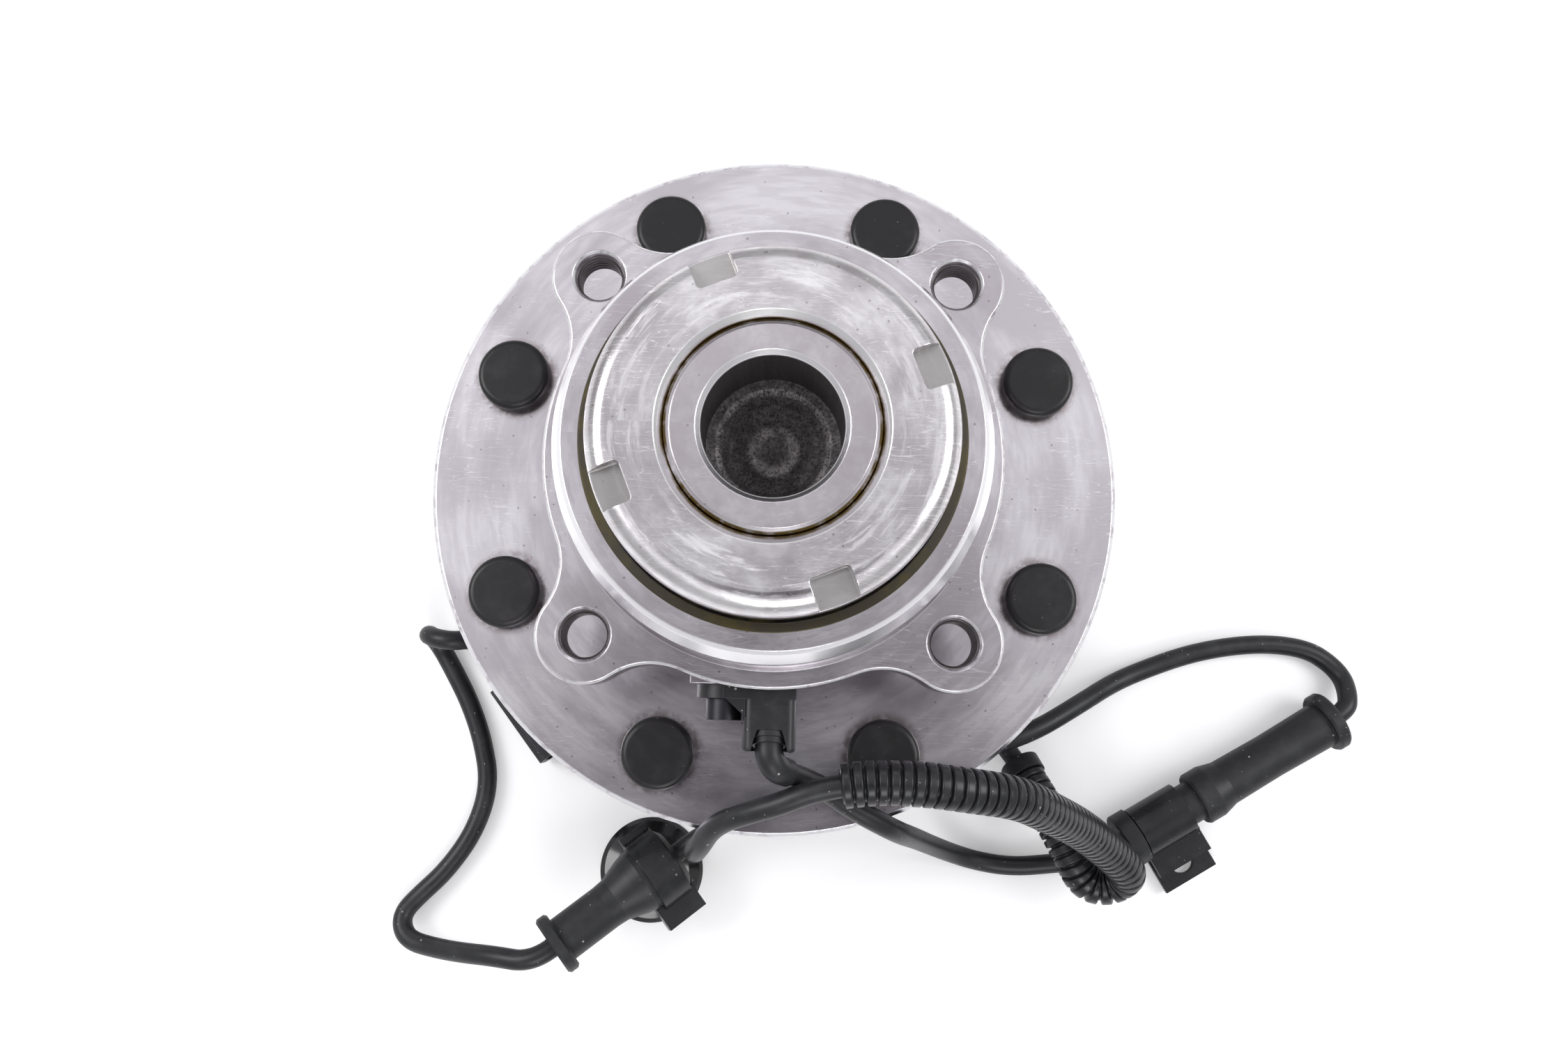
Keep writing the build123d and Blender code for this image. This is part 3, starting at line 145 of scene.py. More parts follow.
# ------------------------------------------------------------ the harness, millimetres
CABLE_RADIUS = 3.1
CONDUIT_RIB_RADIUS = 5.9
CONDUIT_ROOT_RADIUS = 4.55
CONDUIT_RIB_PITCH = 3.05
CONDUIT_RIB_SHARE = 0.64
CONDUIT_FLANK_SHARE = 0.10
CONDUIT_ROWS_PER_RIB = 14
SENSOR_ROUTE = [
    (5.4, -79.9, 93.3), (9.2, -81.25, 88.86), (13.2, -83.1, 84.4), (17.6, -85.7, 80.6),
    (22.9, -89.3, 77.8), (29.1, -92.7, 75.5), (35.2, -95.8, 71.0), (39.5, -98.1, 60.0),
    (43.3, -100.1, 46.0), (50.5, -104.1, 23.0), (58.5, -107.8, 9.0), (67.8, -110.9, 3.6),
    (79.5, -112.6, 3.1), (92.8, -111.1, 4.6), (105.32, -108.74, 10.0), (113.9, -103.6, 10.0),
]
LOOP_ROUTE = [
    (182.9, -62.3, 10.0), (187.7, -59.42, 10.0), (189.0, -54.8, 8.2), (189.0, -49.0, 4.6),
    (185.1, -44.0, 3.1), (178.1, -39.8, 3.1), (166.3, -38.2, 3.1), (152.8, -39.2, 3.1),
    (138.3, -42.3, 3.1), (124.2, -47.5, 3.1), (112.6, -52.5, 5.0), (100.0, -59.8, 12.0),
    (83.2, -69.4, 18.0), (67.0, -74.5, 18.0), (53.3, -89.6, 8.0), (37.0, -87.6, 3.1), (26.8, -74.6, 3.1),
    (28.6, -58.3, 3.1), (41.5, -47.9, 3.1), (57.8, -49.6, 3.1), (69.0, -63.5, 3.1), (80.0, -77.7, 6.2),
]
CONDUIT_ROUTE = [
    (83.6, -83.3, 9.0), (89.5, -95.0, 17.0), (94.6, -105.2, 20.5), (99.5, -114.6, 18.5),
    (105.5, -116.4, 18.6), (110.8, -114.1, 21.0), (112.0, -110.4, 26.0), (102.6, -103.0, 37.0),
    (90.6, -95.4, 53.0), (78.5, -90.1, 70.0), (67.3, -85.4, 84.0), (53.8, -83.5, 92.0),
    (41.4, -81.9, 95.0), (29.4, -81.7, 95.5), (19.6, -82.8, 95.0),
]
DRAPE_ROUTE = [
    (10.8, -84.9, 94.5), (3.6, -88.1, 92.5), (-5.0, -90.9, 88.5), (-13.9, -94.6, 81.5),
    (-19.0, -103.0, 70.0), (-20.6, -104.6, 54.0), (-19.0, -103.3, 38.0), (-16.5, -101.3, 25.0),
    (-21.9, -104.4, 17.1), (-28.73, -109.73, 19.0),
]
LEAD_ROUTE = [
    (-64.09, -136.79, 29.3), (-69.66, -141.05, 30.9), (-82.23, -140.09, 27.0), (-93.63, -140.59, 20.0),
    (-103.42, -140.52, 13.5), (-112.43, -139.36, 9.0), (-115.99, -135.78, 6.8), (-116.23, -131.07, 5.2),
    (-112.02, -126.1, 3.8), (-103.5, -117.9, 3.1), (-95.0, -105.0, 3.1), (-91.2, -90.3, 3.1),
    (-94.3, -76.0, 3.1), (-99.3, -63.6, 3.1), (-105.5, -52.8, 3.1), (-109.6, -46.2, 3.1),
    (-111.9, -42.4, 7.2), (-111.9, -42.4, 13.0), (-108.2, -43.7, 17.0), (-102.4, -44.5, 18.0),
    (-97.3, -43.6, 14.5), (-93.0, -44.8, 7.3), (-89.3, -49.5, 7.3),
]
MIDDLE_ROUTE = LOOP_ROUTE + CONDUIT_ROUTE + DRAPE_ROUTE


# ------------------------------------------------------------ camera
def place_camera():
    """The photograph's own view, solved from the stud heads and the knuckle holes."""
    camera = bpy.data.objects.new("camera", bpy.data.cameras.new("camera"))
    bpy.context.scene.collection.objects.link(camera)
    camera.data.lens = CAMERA_LENS_MM
    camera.data.sensor_width = CAMERA_SENSOR_MM
    camera.data.clip_start = CAMERA_CLIP_START
    place = Matrix.Translation(Vector(CAMERA_PLACE_MM) * MM)
    tilt = Matrix.Rotation(radians(CAMERA_TILT_DEG), 4, "X")
    camera.matrix_world = place @ tilt @ Matrix.Rotation(radians(CAMERA_ROLL_DEG), 4, "Z")
    bpy.context.scene.camera = camera


# ------------------------------------------------------------ node helpers
class Graph:
    """A short way to write a node tree."""

    def __init__(self, tree):
        self.tree = tree
        self.tree.nodes.clear()

    def node(self, kind, values=None, **settings):
        node = self.tree.nodes.new("ShaderNode" + kind)
        for key, value in settings.items():
            setattr(node, key, value)
        for key, value in (values or {}).items():
            self.feed(node.inputs[key], value)
        return node

    def feed(self, socket, value):
        """Links a socket to another one, or sets its value."""
        if isinstance(value, bpy.types.NodeSocket):
            self.tree.links.new(value, socket)
        elif isinstance(value, tuple) and len(value) == 3 and socket.type == "RGBA":
            socket.default_value = (*value, 1.0)
        else:
            socket.default_value = value

    def math(self, operation, a, b=0.0):
        return self.node("Math", {0: a, 1: b}, operation=operation).outputs[0]

    def plus(self, a, b):
        return self.math("ADD", a, b)

    def minus(self, a, b):
        return self.math("SUBTRACT", a, b)

    def times(self, a, b):
        return self.math("MULTIPLY", a, b)

    def most(self, a, b):
        return self.math("MAXIMUM", a, b)

    def ramp(self, factor, low, high):
        """Rises smoothly from 0 at low to 1 at high, or falls where low is over high."""
        values = {"Value": factor, "From Min": low, "From Max": high}
        return self.node("MapRange", values, interpolation_type="SMOOTHSTEP").outputs["Result"]

    def mix(self, factor, a, b):
        """A colour: a where the factor is 0, b where it is 1."""
        node = self.node("Mix", data_type="RGBA")
        self.feed(node.inputs[0], factor)
        self.feed(node.inputs[6], a)
        self.feed(node.inputs[7], b)
        return node.outputs[2]

    def blend_value(self, factor, a, b):
        """A number: a where the factor is 0, b where it is 1."""
        node = self.node("Mix", data_type="FLOAT")
        self.feed(node.inputs[0], factor)
        self.feed(node.inputs[2], a)
        self.feed(node.inputs[3], b)
        return node.outputs[0]

    def noise(self, vector, scale, detail=3.0, roughness=0.5):
        values = {"Vector": vector, "Scale": scale, "Detail": detail, "Roughness": roughness}
        return self.node("TexNoise", values).outputs["Fac"]

    def place(self):
        return self.node("TexCoord").outputs["Object"]

    def polar(self):
        """Turn in radians, radius in metres and height in metres, about Z."""
        x, y, z = self.node("SeparateXYZ", {0: self.place()}).outputs
        square = self.plus(self.times(x, x), self.times(y, y))
        return self.math("ARCTAN2", y, x), self.math("SQRT", square), z

    def vector(self, x, y, z):
        return self.node("CombineXYZ", {0: x, 1: y, 2: z}).outputs[0]

    def bump(self, height, strength, distance, normal):
        values = {"Height": height, "Strength": strength, "Distance": distance, "Normal": normal}
        return self.node("Bump", values).outputs[0]

    def rounded(self, radius):
        return self.node("Bevel", {"Radius": radius}, samples=6).outputs[0]

    def principled(self, **values):
        """A Principled shader; an underscore in a name stands for a space."""
        named = {key.replace("_", " "): value for key, value in values.items()}
        return self.node("BsdfPrincipled", named).outputs[0]

    def surface(self, shader, output="OutputMaterial"):
        self.tree.links.new(shader, self.node(output).inputs[0])

    def finish(self, **values):
        self.surface(self.principled(**values))


def new_material(name):
    material = bpy.data.materials.new(name)
    material.use_nodes = True
    return material, Graph(material.node_tree)


# ------------------------------------------------------------ masks: 1 inside, 0 outside, broken up or not
def specks(graph, scale, size):
    """Scattered dots: 1 in a dot, 0 elsewhere."""
    cells = graph.node("TexVoronoi", {"Vector": graph.place(), "Scale": scale, "Randomness": 1.0})
    draw = graph.node("SeparateColor", {0: cells.outputs["Color"]}).outputs[0]
    dot = graph.ramp(cells.outputs["Distance"], low=size, high=size * 0.6)
    return graph.times(dot, graph.ramp(draw, low=0.80, high=0.82))


def scratches(graph, scale, width, heading):
    """Thin straight lines, running where a stretched noise crosses its middle value."""
    stretch = {"Vector": graph.place(), "Rotation": (0.0, 0.0, heading), "Scale": (1.0, 9.0, 1.0)}
    wander = graph.noise(graph.node("Mapping", stretch).outputs[0], scale, detail=1.0, roughness=0.4)
    line = graph.ramp(graph.math("ABSOLUTE", graph.minus(wander, 0.5)), low=width, high=0.0)
    patch = graph.ramp(graph.noise(graph.place(), scale * 0.6, detail=1.0), low=0.52, high=0.62)
    return graph.times(line, patch)


def patchy(graph, mask, scale, low=0.42, high=0.58):
    """A mask broken up by noise."""
    cloud = graph.noise(graph.place(), scale, detail=4.0, roughness=0.65)
    return graph.times(mask, graph.ramp(cloud, low, high))


def above(graph, value, level_mm, soft_mm=0.15):
    """1 where a length in metres is over a level, 0 under it."""
    return graph.ramp(value, (level_mm - soft_mm) * MM, (level_mm + soft_mm) * MM)


def below(graph, value, level_mm, soft_mm=0.15):
    return graph.ramp(value, (level_mm + soft_mm) * MM, (level_mm - soft_mm) * MM)


def between(graph, value, levels_mm, soft_mm=0.15):
    low, high = levels_mm
    return graph.times(above(graph, value, low, soft_mm), below(graph, value, high, soft_mm))


def tint(graph, colour, mask, strength, paint):
    return graph.mix(graph.times(mask, strength), colour, paint)


def stud_distance(graph, turn, radius):
    """Distance in the flange's plane to the nearest stud's axis, in metres."""
    step = 2 * pi / STUD_COUNT
    phase = graph.math("DIVIDE", graph.minus(turn, radians(STUD_FIRST_ANGLE)), step)
    offset = graph.minus(phase, graph.math("ROUND", phase))
    across = graph.times(graph.times(offset, step), radius)
    inward = graph.minus(radius, STUD_CIRCLE_MM * MM)
    return graph.math("SQRT", graph.plus(graph.times(across, across), graph.times(inward, inward)))


# ------------------------------------------------------------ metals
def lathe_surface(graph, low, high, roughness, lines=0.35, edge=0.0004, scratch=0.5):
    """Colour, roughness and normal of a turned face: fine rings, slow blotches, scratches and pits."""
    turn, radius, height = graph.polar()
    rings = graph.noise(graph.vector(graph.times(turn, 0.02), radius, height), scale=2600.0, detail=2.0,
                        roughness=0.6)
    coarse = graph.noise(graph.vector(graph.times(turn, 0.015), radius, height), scale=520.0, detail=2.0)
    swirl = graph.noise(graph.vector(turn, graph.times(radius, 40.0), height), scale=2.2, detail=4.0,
                        roughness=0.6)
    cloud = graph.noise(graph.place(), scale=26.0, detail=4.0, roughness=0.55)
    tone = graph.plus(graph.times(swirl, 0.5), graph.times(cloud, 0.5))
    colour = graph.mix(graph.ramp(tone, low=0.38, high=0.62), low, high)
    colour = tint(graph, colour, graph.ramp(coarse, low=0.40, high=0.62), 0.35, low)
    crossed = graph.most(scratches(graph, 70.0, width=0.012, heading=0.7),
                         scratches(graph, 95.0, width=0.010, heading=2.1))
    marks = graph.times(crossed, scratch)
    colour = graph.mix(marks, colour, SCRATCH_AND_HIGHLIGHT_WHITE)
    colour = tint(graph, colour, specks(graph, scale=420.0, size=0.16), 0.5, PIT_DARK)
    rough = graph.plus(roughness - 0.08, graph.times(tone, 0.16))
    rough = graph.plus(rough, graph.times(rings, 0.06))
    grooves = graph.plus(graph.plus(rings, coarse), graph.times(marks, 0.6))
    normal = graph.bump(grooves, strength=lines, distance=0.00002, normal=graph.rounded(edge))
    return colour, rough, normal


def finish_lathe(graph, colour, rough, normal, anisotropic=0.55, metallic=1.0):
    """Turned steel: highlights stretch round the axis."""
    tangent = graph.node("Tangent", direction_type="RADIAL", axis="Z").outputs[0]
    graph.finish(Base_Color=colour, Metallic=metallic, Roughness=rough, Anisotropic=anisotropic,
                 Tangent=tangent, Normal=normal)


def bore_shade(graph, turn, radius, height):
    """Painted shade in the deep bore: a near-black wall and a granular floor in grey rings round a dark
    centre.
    """
    grain = graph.noise(graph.place(), scale=1500.0, detail=3.0, roughness=0.75)
    ripple = graph.noise(graph.vector(graph.times(turn, 0.1), radius, 0.0), scale=700.0, detail=2.0,
                         roughness=0.6)
    floor_mottle = graph.ramp(graph.plus(graph.times(grain, 0.65), graph.times(ripple, 0.35)), low=0.36, high=0.60)
    outer = graph.times(between(graph, radius, BORE_OUTER_RING_RADII, soft_mm=0.8), 0.75)
    inner = graph.times(between(graph, radius, BORE_INNER_RING_RADII, soft_mm=2.2), 0.80)
    light = graph.most(graph.most(outer, inner), 0.26)
    cloud = graph.ramp(graph.noise(graph.place(), scale=260.0, detail=2.0), low=0.35, high=0.60)
    blotch = graph.blend_value(cloud, 0.55, 1.0)
    floor = graph.times(graph.times(light, blotch), below(graph, height, BORE_FLOOR_HEIGHT, soft_mm=0.8))
    level = graph.most(floor, 0.035)
    return graph.mix(graph.times(floor_mottle, level), BORE_SHADE_BLACK, BORE_FLOOR_LIGHT)


def hub_steel():
    """Turned flange, chipped rim with a painted highlight, brown halos round the studs, a painted highlight on
    the bore's lip, and a spindle bore painted near-black as shade.
    """
    material, graph = new_material("hub_steel")
    colour, rough, normal = lathe_surface(graph, (0.55, 0.52, 0.55), (0.78, 0.76, 0.79), 0.20, lines=0.2)
    turn, radius, height = graph.polar()
    rim = between(graph, radius, FLANGE_RIM_RADII, soft_mm=0.1)
    # chipped rim with a painted highlight along the flange's edge
    colour = tint(graph, colour, patchy(graph, rim, scale=260.0, low=0.38, high=0.5), 0.75, CHIPPED_EDGE_HIGHLIGHT)
    near_stud = below(graph, stud_distance(graph, turn, radius), STUD_HALO_RADIUS, soft_mm=1.5)
    halo = patchy(graph, near_stud, scale=300.0, low=0.30, high=0.6)
    colour = tint(graph, colour, halo, 0.7, STUD_HALO_BROWN)
    inside = graph.times(below(graph, radius, BORE_RADIUS, soft_mm=0.1),
                         below(graph, height, BORE_MOUTH_HEIGHT, soft_mm=0.5))
    # the spindle bore painted near-black as shade, its floor in grainy grey rings
    colour = graph.mix(inside, colour, bore_shade(graph, turn, radius, height))
    rough = graph.blend_value(inside, rough, 0.6)
    colour = tint(graph, colour, above(graph, height, SPINDLE_END_HEIGHT), 0.4, SPINDLE_END_GREY)
    # painted highlight on the chamfered lip of the spindle bore
    lip = graph.times(between(graph, radius, SPINDLE_LIP_RADII),
                      above(graph, height, SPINDLE_LIP_HEIGHT, soft_mm=0.5))
    colour = tint(graph, colour, lip, 0.8, SCRATCH_AND_HIGHLIGHT_WHITE)
    grease = graph.times(between(graph, radius, SPINDLE_GREASE_RADII),
                         above(graph, height, SPINDLE_GREASE_HEIGHT, soft_mm=0.5))
    colour = graph.mix(patchy(graph, grease, scale=160.0, low=0.25, high=0.55), colour, SPINDLE_GREASE)
    finish_lathe(graph, colour, rough, normal, anisotropic=0.3, metallic=graph.blend_value(inside, 1.0, 0.25))
    return material


def outer_ring_steel():
    """Turned pilot with a painted reflection on its nose, and chipped edges round the four ears with a painted
    highlight.
    """
    material, graph = new_material("outer_ring_steel")
    colour, rough, normal = lathe_surface(graph, (0.47, 0.435, 0.465), (0.70, 0.675, 0.705), 0.20, lines=0.25)
    _, radius, height = graph.polar()
    edge = between(graph, height, EAR_EDGE_HEIGHTS, soft_mm=0.06)
    # chipped ear edges with a painted highlight along them
    colour = tint(graph, colour, patchy(graph, edge, scale=420.0, low=0.36, high=0.5), 0.75, CHIPPED_EDGE_HIGHLIGHT)
    wall = graph.times(above(graph, height, PILOT_WALL_HEIGHT, soft_mm=0.7),
                       above(graph, radius, PILOT_WALL_RADIUS, soft_mm=0.3))
    # painted reflection of the white room on the pilot's outer wall
    colour = tint(graph, colour, wall, 0.75, PILOT_PAINTED_REFLECTION)
    for level in PILOT_SCORE_HEIGHTS:
        band = between(graph, height, (level, level + PILOT_SCORE_WIDTH), soft_mm=0.12)
        colour = tint(graph, colour, graph.times(wall, band), 0.8, PILOT_SCORE_DARK)
    mouth = graph.times(below(graph, radius, PILOT_MOUTH_RADIUS),
                        above(graph, height, PILOT_MOUTH_HEIGHT, soft_mm=0.5))
    colour = graph.mix(mouth, colour, PILOT_MOUTH_OIL)
    finish_lathe(graph, colour, rough, normal, anisotropic=0.4)
    return material


def nut_steel():
    """Bright plated nut: crossed swirl scratches, hazy rubbed patches, grey slot floors, a painted highlight
    on the bore chamfer, greasy thread.
    """
    material, graph = new_material("nut_steel")
    colour, rough, normal = lathe_surface(graph, (0.50, 0.475, 0.49), (0.84, 0.83, 0.84), 0.20, lines=0.2,
                                          scratch=0.7)
    turn, radius, height = graph.polar()
    swirls = scratches(graph, 60.0, width=0.012, heading=0.2)
    for scale, heading in ((75.0, 1.2), (88.0, 2.7), (110.0, 1.9), (130.0, 0.9)):
        swirls = graph.most(swirls, scratches(graph, scale, width=0.011, heading=heading))
    colour = tint(graph, colour, swirls, 0.7, NUT_SWIRL_LIGHT)
    arcs = graph.noise(graph.vector(graph.times(turn, 1.1), graph.times(radius, 260.0), 0.0), scale=1.6,
                       detail=4.0, roughness=0.7)
    haze = graph.times(graph.ramp(arcs, low=0.50, high=0.64),
                       between(graph, radius, NUT_HAZE_RADII, soft_mm=3.0))
    colour = tint(graph, colour, haze, 0.6, NUT_HAZE_LIGHT)
    rough = graph.plus(rough, graph.times(haze, 0.12))
    floor = graph.times(below(graph, height, NUT_SLOT_FLOOR_HEIGHT, soft_mm=0.2),
                        between(graph, radius, NUT_SLOT_RADII))
    colour = tint(graph, colour, floor, 0.80, NUT_SLOT_GREY)
    rough = graph.blend_value(floor, rough, 0.34)
    # painted highlight on the nut's bore chamfer
    colour = tint(graph, colour, between(graph, radius, NUT_CHAMFER_RADII), 0.7, NUT_CHAMFER_HIGHLIGHT)
    thread = patchy(graph, below(graph, radius, NUT_THREAD_RADIUS), scale=150.0, low=0.2, high=0.5)
    colour = graph.mix(thread, colour, NUT_THREAD_GREASE)
    finish_lathe(graph, colour, rough, normal, anisotropic=0.45)
    return material


def ring_steel(name, low, high, roughness):
    """The ground inner rings."""
    material, graph = new_material(name)
    colour, rough, normal = lathe_surface(graph, low, high, roughness, lines=0.15)
    finish_lathe(graph, colour, rough, normal)
    return material


def greasy(name, base, metallic, roughness):
    """A sealed gap wet with olive grease."""
    material, graph = new_material(name)
    film = graph.ramp(graph.noise(graph.place(), scale=90.0, detail=4.0, roughness=0.6), low=0.45, high=0.65)
    wet = graph.bump(graph.noise(graph.place(), scale=420.0), strength=0.5, distance=0.00008,
                     normal=graph.rounded(0.0003))
    graph.finish(Base_Color=graph.mix(film, base, OLIVE_GREASE), Metallic=metallic, Roughness=roughness,
                 Coat_Weight=0.7, Coat_Roughness=0.12, Normal=wet)
    return material


def plain_steel(name, colour, roughness):
    """Ground or pressed metal on the pieces inside and on the small ones."""
    material, graph = new_material(name)
    cloud = graph.noise(graph.place(), scale=180.0, detail=4.0, roughness=0.6)
    shade = graph.mix(graph.ramp(cloud, low=0.35, high=0.65), tuple(c * 0.82 for c in colour), colour)
    rough = graph.plus(roughness - 0.06, graph.times(cloud, 0.12))
    normal = graph.bump(graph.noise(graph.place(), scale=1800.0, detail=2.0), strength=0.15, distance=0.00002,
                        normal=graph.rounded(0.0002))
    graph.finish(Base_Color=shade, Metallic=1.0, Roughness=rough, Normal=normal)
    return material


# ------------------------------------------------------------ rubbers and plastics
def black_rubber(name, colour, roughness, grain=900.0, dust=0.6, coat=0.0):
    """Black rubber or plastic with fine grain, rub marks and white dust."""
    material, graph = new_material(name)
    cloud = graph.noise(graph.place(), scale=120.0, detail=5.0, roughness=0.65)
    rubbed = tuple(c * 1.8 + 0.004 for c in colour)
    shade = graph.mix(graph.ramp(cloud, low=0.42, high=0.75), colour, rubbed)
    motes = graph.most(specks(graph, scale=260.0, size=0.10), specks(graph, scale=610.0, size=0.12))
    shade = tint(graph, shade, motes, dust, DUST_GREY)
    rough = graph.plus(roughness - 0.08, graph.times(cloud, 0.18))
    skin = graph.bump(graph.noise(graph.place(), grain), strength=0.25, distance=0.00005,
                      normal=graph.rounded(0.0003))
    graph.finish(Base_Color=shade, Roughness=rough, Normal=skin, Coat_Weight=coat, Coat_Roughness=0.15,
                 Specular_IOR_Level=0.4)
    return material


def assign(material, *nodes):
    """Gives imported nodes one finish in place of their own."""
    for name in nodes:
        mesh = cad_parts[name].data
        mesh.materials.clear()
        mesh.materials.append(material)


# ------------------------------------------------------------ lines
def spline_curve(name, points, radius):
    """One smooth cord with the route's points as its control points."""
    curve = bpy.data.curves.new(name, "CURVE")
    curve.dimensions = "3D"
    spline = curve.splines.new("NURBS")
    spline.points.add(len(points) - 1)
    for place, point in zip(points, spline.points):
        point.co = (*(Vector(place) * MM), 1.0)
        point.radius = radius * MM
    spline.order_u = 3
    spline.use_endpoint_u = True
    spline.resolution_u = 12
    curve.bevel_depth = 1.0  # times each point's radius, so that bounds read off the points are true
    curve.bevel_resolution = 6
    curve.use_fill_caps = True
    thing = bpy.data.objects.new(name, curve)
    bpy.context.scene.collection.objects.link(thing)
    return thing


def centre_line(thing):
    """The smooth line's own points, read with the bevel taken off."""
    bevel = thing.data.bevel_depth
    thing.data.bevel_depth = 0.0
    bpy.context.view_layer.update()
    mesh = bpy.data.meshes.new_from_object(thing.evaluated_get(bpy.context.evaluated_depsgraph_get()))
    points = [v.co.copy() for v in mesh.vertices]
    bpy.data.meshes.remove(mesh)
    thing.data.bevel_depth = bevel
    return points


def line_length(points):
    return sum((b - a).length for a, b in zip(points, points[1:]))


def nearest(points, place_mm):
    """Index of the point nearest to a place."""
    place = Vector(place_mm) * MM
    return min(range(len(points)), key=lambda k: (points[k] - place).length)


def evenly(points, step):
    """Points about a step apart along a line, both ends included."""
    out = []
    total = line_length(points)
    count = max(2, round(total / step))
    walked, k = 0.0, 0
    for n in range(count + 1):
        target = total * n / count
        while k < len(points) - 2 and walked + (points[k + 1] - points[k]).length < target:
            walked += (points[k + 1] - points[k]).length
            k += 1
        run = points[k + 1] - points[k]
        out.append(points[k] + run * min(1.0, (target - walked) / run.length))
    return out


# ------------------------------------------------------------ meshes
def mesh_object(name, build, material, body, smooth=True):
    """A mesh that build(shape) fills, riding on a body."""
    mesh = bpy.data.meshes.new(name)
    shape = bmesh.new()
    build(shape)
    bmesh.ops.recalc_face_normals(shape, faces=shape.faces)
    shape.to_mesh(mesh)
    shape.free()
    for face in mesh.polygons:
        face.use_smooth = smooth
    mesh.materials.append(material)
    thing = bpy.data.objects.new(name, mesh)
    bpy.context.scene.collection.objects.link(thing)
    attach(thing, body)
    return thing


def tube_along(points, radius_at, sides=28):
    """Builds a tube of changing radius, radius_at(distance) in metres, capped at both ends."""
    def build(shape):
        across = Vector((0, 0, 1)).cross(points[1] - points[0]).normalized()
        rows, walked = [], 0.0
        for k, point in enumerate(points):
            ahead = points[min(k + 1, len(points) - 1)] - points[max(k - 1, 0)]
            ahead.normalize()
            across = (across - ahead * across.dot(ahead)).normalized()
            lift = ahead.cross(across)
            if k:
                walked += (point - points[k - 1]).length
            radius = radius_at(walked)
            turns = [2 * pi * n / sides for n in range(sides)]
            rows.append([shape.verts.new(point + (across * cos(t) + lift * sin(t)) * radius) for t in turns])
        for a, b in zip(rows, rows[1:]):
            for n in range(sides):
                shape.faces.new((a[n], a[(n + 1) % sides], b[(n + 1) % sides], b[n]))
        shape.faces.new(rows[0])
        shape.faces.new(rows[-1])
    return build


def rib_radius(distance):
    """The conduit's section along its length: flat-topped ribs with narrow valleys."""
    phase = abs((distance / (CONDUIT_RIB_PITCH * MM)) % 1.0 - 0.5)
    rise = (CONDUIT_RIB_SHARE / 2 + CONDUIT_FLANK_SHARE - phase) / CONDUIT_FLANK_SHARE
    rise = min(1.0, max(0.0, rise))
    rise = rise * rise * (3 - 2 * rise)
    return (CONDUIT_ROOT_RADIUS + (CONDUIT_RIB_RADIUS - CONDUIT_ROOT_RADIUS) * rise) * MM


def ridged_sleeve(x, y, sides=40):
    """Builds a knuckle hole's thread as closed ridges on a thin sleeve in the hole."""
    wall = KNUCKLE_HOLE_RADIUS - KNUCKLE_SLEEVE_GAP
    root = wall - KNUCKLE_SLEEVE_WALL
    count = int((KNUCKLE_THREAD_HIGH - KNUCKLE_THREAD_LOW) / KNUCKLE_THREAD_PITCH)
    section = [(wall, KNUCKLE_THREAD_LOW)]
    for k in range(count):
        foot = KNUCKLE_THREAD_LOW + k * KNUCKLE_THREAD_PITCH
        section.append((root, foot))
        for share in KNUCKLE_CREST_SHARES:
            section.append((KNUCKLE_THREAD_CREST, foot + share * KNUCKLE_THREAD_PITCH))
    top = KNUCKLE_THREAD_LOW + count * KNUCKLE_THREAD_PITCH
    section += [(root, top), (wall, top)]

    def build(shape):
        rows = []
        for n in range(sides):
            turn = 2 * pi * n / sides
            rows.append([shape.verts.new(((x + r * cos(turn)) * MM, (y + r * sin(turn)) * MM, z * MM))
                         for r, z in section])
        for n in range(sides):
            a, b = rows[n], rows[(n + 1) % sides]
            for k in range(len(section)):
                after = (k + 1) % len(section)
                shape.faces.new((a[k], b[k], b[after], a[after]))
    return build


def make_threads(material):
    half = KNUCKLE_HOLE_SPACING / 2
    for k, (x, y) in enumerate(((half, half), (-half, half), (-half, -half), (half, -half))):
        mesh_object(f"knuckle_thread_{k + 1}", ridged_sleeve(x, y), material, "knuckle_side", smooth=False)


def make_cords(jacket, loom):
    """Three stretches of cable and the ribbed conduit on the middle one."""
    root = "knuckle_side"
    sensor = spline_curve("sensor_lead", SENSOR_ROUTE, CABLE_RADIUS)
    middle = spline_curve("middle_lead", MIDDLE_ROUTE, CABLE_RADIUS)
    lead = spline_curve("connector_lead", LEAD_ROUTE, CABLE_RADIUS)
    for cord, node in ((sensor, "sensor_cable"), (middle, "middle_cable"), (lead, "lead_cable")):
        cord.data.materials.append(jacket)
        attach(cord, root)
        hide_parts(node)
    line = centre_line(middle)
    first, last = nearest(line, CONDUIT_ROUTE[0]), nearest(line, CONDUIT_ROUTE[-1])
    stretch = evenly(line[first:last + 1], CONDUIT_RIB_PITCH * MM / CONDUIT_ROWS_PER_RIB)
    ribs = mesh_object("ribbed_conduit", tube_along(stretch, rib_radius), loom, root)
    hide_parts("conduit")
    line_length(centre_line(sensor))
    line_length(centre_line(lead))


